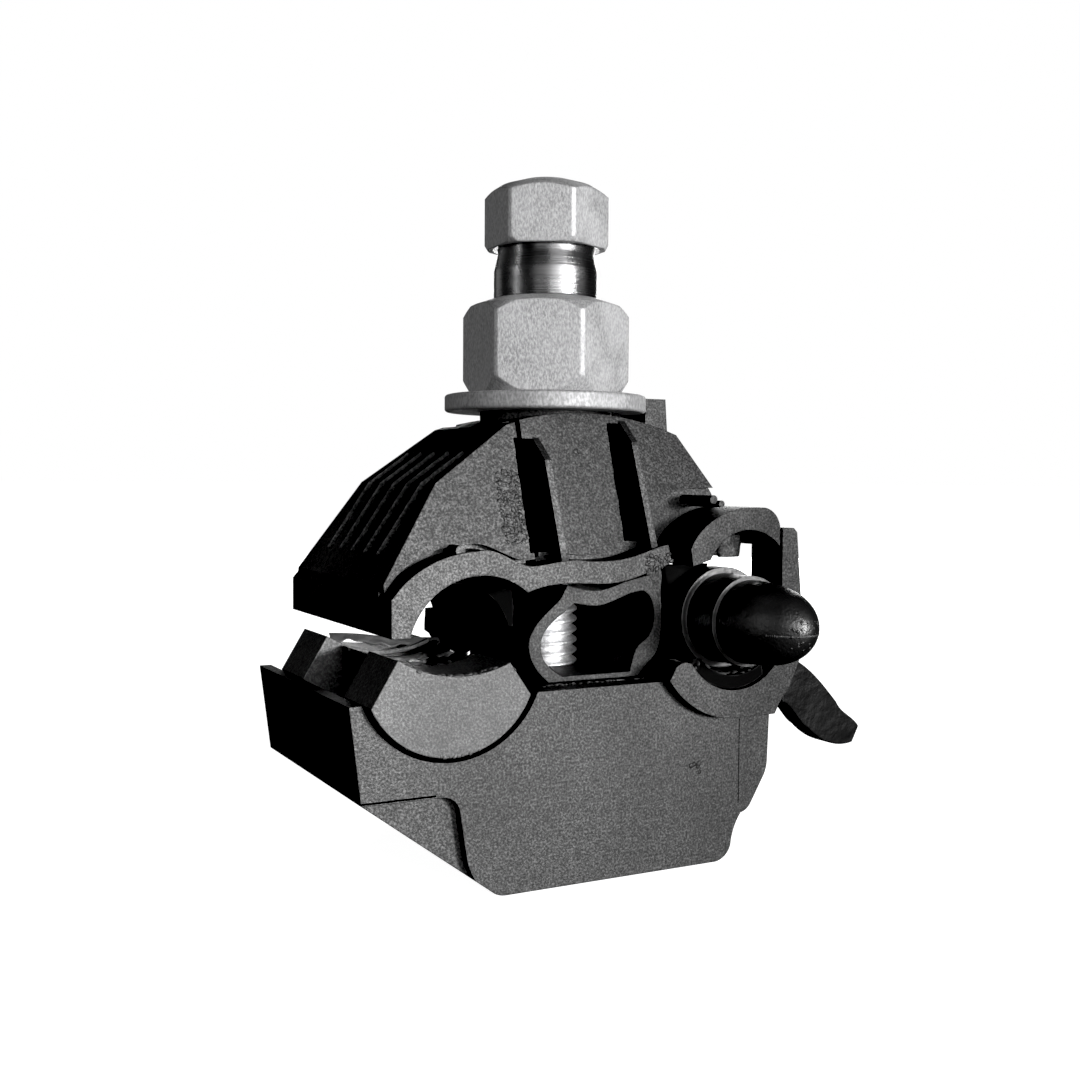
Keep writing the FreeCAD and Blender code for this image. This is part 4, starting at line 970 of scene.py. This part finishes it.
def on_path(points, share):
    """Point on a smooth curve (Catmull-Rom) through a list of points."""
    spot = share * (len(points) - 1)
    index = min(int(spot), len(points) - 2)
    local = spot - index
    before = Vector(points[max(index - 1, 0)])
    here = Vector(points[index])
    there = Vector(points[index + 1])
    after = Vector(points[min(index + 2, len(points) - 1)])
    bend = (there - before) * local + (2 * before - 5 * here + 4 * there - after) * local ** 2
    bend += (3 * here - before - 3 * there + after) * local ** 3
    return here + 0.5 * bend


def torn_film(name, points, width_mm, thick_mm):
    """Ribbon that hangs from a path, leans forward, sways, and is torn at its lower edge."""
    steps, across = 60, 6
    tears, folds, lean = 9.0, 7.0, 0.45
    work = bmesh.new()
    layers = []
    for side in (-0.5, 0.5):
        grid = []
        for step in range(steps + 1):
            share = step / steps
            top = on_path(points, share)
            ragged = 0.6 + 0.5 * noise.noise(Vector((share * tears, 3.3, 0)))
            line = []
            for cut in range(across + 1):
                down_share = cut / across
                sway = 0.5 * down_share * noise.noise(Vector((share * folds, down_share * 2.0, 9.1)))
                y = -lean * down_share * width_mm + sway + side * thick_mm
                offset = Vector((0.0, y, -down_share * width_mm * ragged))
                line.append(work.verts.new((top + offset) * MM))
            grid.append(line)
        layers.append(grid)
    close_sheet(work, *layers)
    return piece_from(work, name, wet_grease)


film = torn_film("groove_film", film_path, width_mm=1.6, thick_mm=0.15)
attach(film, "lower_jaw")
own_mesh(film)


# %% [markdown]
# ## The bolt and its thread
#
# The CAD bolt is a plain rod, because a thread is too fine for it. Here the rod becomes a threaded
# one. A thread could be a bump, but the bolt shows in silhouette between the jaws, so it is real
# geometry: a grid round the axis whose radius rises and falls along a helix.

# %% Threaded bolt
bolt_radius = 4.0
thread_pitch = 1.25
thread_depth = 0.68
root_flat, flank_share = 0.12, 0.7
bolt_top = 63.5
tip_chamfer = 0.9
head_top = 5.3
head_across_flats = 13.0
head_profile = ((0.9, 0.0), (1.0, 0.6), (1.0, head_top))


def thread_radius(turn, height):
    """Radius of the rod at a turn and a height: a 60 degree ridge with a flat crest and root."""
    phase = (height / thread_pitch - turn) % 1.0
    ridge = abs(phase - 0.5) * 2.0
    slope = min(1.0, max(0.0, (ridge - root_flat) / flank_share))
    fade = min(1.0, (bolt_top - height) / tip_chamfer)
    return (bolt_radius - thread_depth * (1.0 - slope)) - tip_chamfer * (1.0 - fade)


def vertex_ring(work, angles, reaches, height):
    """Vertices round the bolt axis; angles in radians, reaches and height in mm."""
    return [
        work.verts.new((reach * math.cos(angle) * MM, reach * math.sin(angle) * MM, height * MM))
        for angle, reach in zip(angles, reaches)
    ]


def closed_stack(work, rings):
    """Faces between stacked rings, from the lowest to the highest, and over both ends."""
    for lower, upper in zip(rings, rings[1:]):
        for step in range(len(lower)):
            following = (step + 1) % len(lower)
            work.faces.new((lower[step], lower[following], upper[following], upper[step]))
    work.faces.new(rings[-1])
    work.faces.new(list(reversed(rings[0])))


def threaded_bolt():
    """Hexagon head and threaded rod as one mesh."""
    around, rows_per_pitch, sunk = 56, 10, 0.2
    mesh = bpy.data.meshes.new("threaded_bolt")
    work = bmesh.new()
    rows = int((bolt_top - head_top) / (thread_pitch / rows_per_pitch))
    angles = [2 * math.pi * step / around for step in range(around)]
    rings = []
    for row in range(rows + 1):
        height = head_top - sunk + (bolt_top - head_top + sunk) * row / rows
        reaches = [thread_radius(step / around, height) for step in range(around)]
        rings.append(vertex_ring(work, angles, reaches, height))
    closed_stack(work, rings)
    corner = head_across_flats / math.sqrt(3)
    corner_angles = [math.radians(30 + 60 * step) for step in range(6)]
    closed_stack(work, [
        vertex_ring(work, corner_angles, [corner * scale] * 6, height) for scale, height in head_profile
    ])
    work.to_mesh(mesh)
    work.free()
    mesh.shade_smooth()
    mesh.set_sharp_from_angle(angle=math.radians(30.0))
    mesh.materials.append(bolt_steel)
    bolt = bpy.data.objects.new("threaded_bolt", mesh)
    scene.collection.objects.link(bolt)
    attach(bolt, "lower_jaw")
    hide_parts("clamp_bolt")
    return bolt


bolt = threaded_bolt()
print("bolt faces", len(bolt.data.polygons))


# %% [markdown]
# ## The floor's finish
#
# The floor is a white board that the camera sees almost evenly white, with hardly a trace of a shadow
# round the clamp. A plain white board would throw much light up under the jaws, so to every other ray it
# is dark. The board glows by itself, a little less near the clamp than far away, where it must run into
# the white world without a line.

# %% Floor finish
near, far, near_glow, far_glow = 0.1, 0.6, 0.985, 1.0
unseen_board = grey(0.03)

floor_paint, tree, paint = fresh_material("floor_paint")
paint.inputs["Roughness"].default_value = 0.9
paint.inputs["Emission Color"].default_value = (1.0, 1.0, 1.0, 1.0)
where = object_point(tree, (-1100, 0))
clouds = noise_node(tree, where, 6.0, (-700, 0))
board = colour_between(tree, clouds, grey(0.44), grey(0.5), (-450, 0))
seen = add_node(tree, "ShaderNodeLightPath", (-700, 300)).outputs["Is Camera Ray"]
shown = colour_between(tree, seen, unseen_board, board, (-200, 0))
tree.links.new(shown, paint.inputs["Base Color"])
away = add_node(tree, "ShaderNodeVectorMath", (-900, -300), operation="LENGTH")
tree.links.new(where, away.inputs[0])
glow = ramp(tree, away.outputs["Value"], near, far, near_glow, far_glow, place=(-700, -300))
to_camera_only = product(tree, glow, seen, (-450, -300))
tree.links.new(to_camera_only, paint.inputs["Emission Strength"])
floor_mesh.materials.append(floor_paint)
print("floor finished")
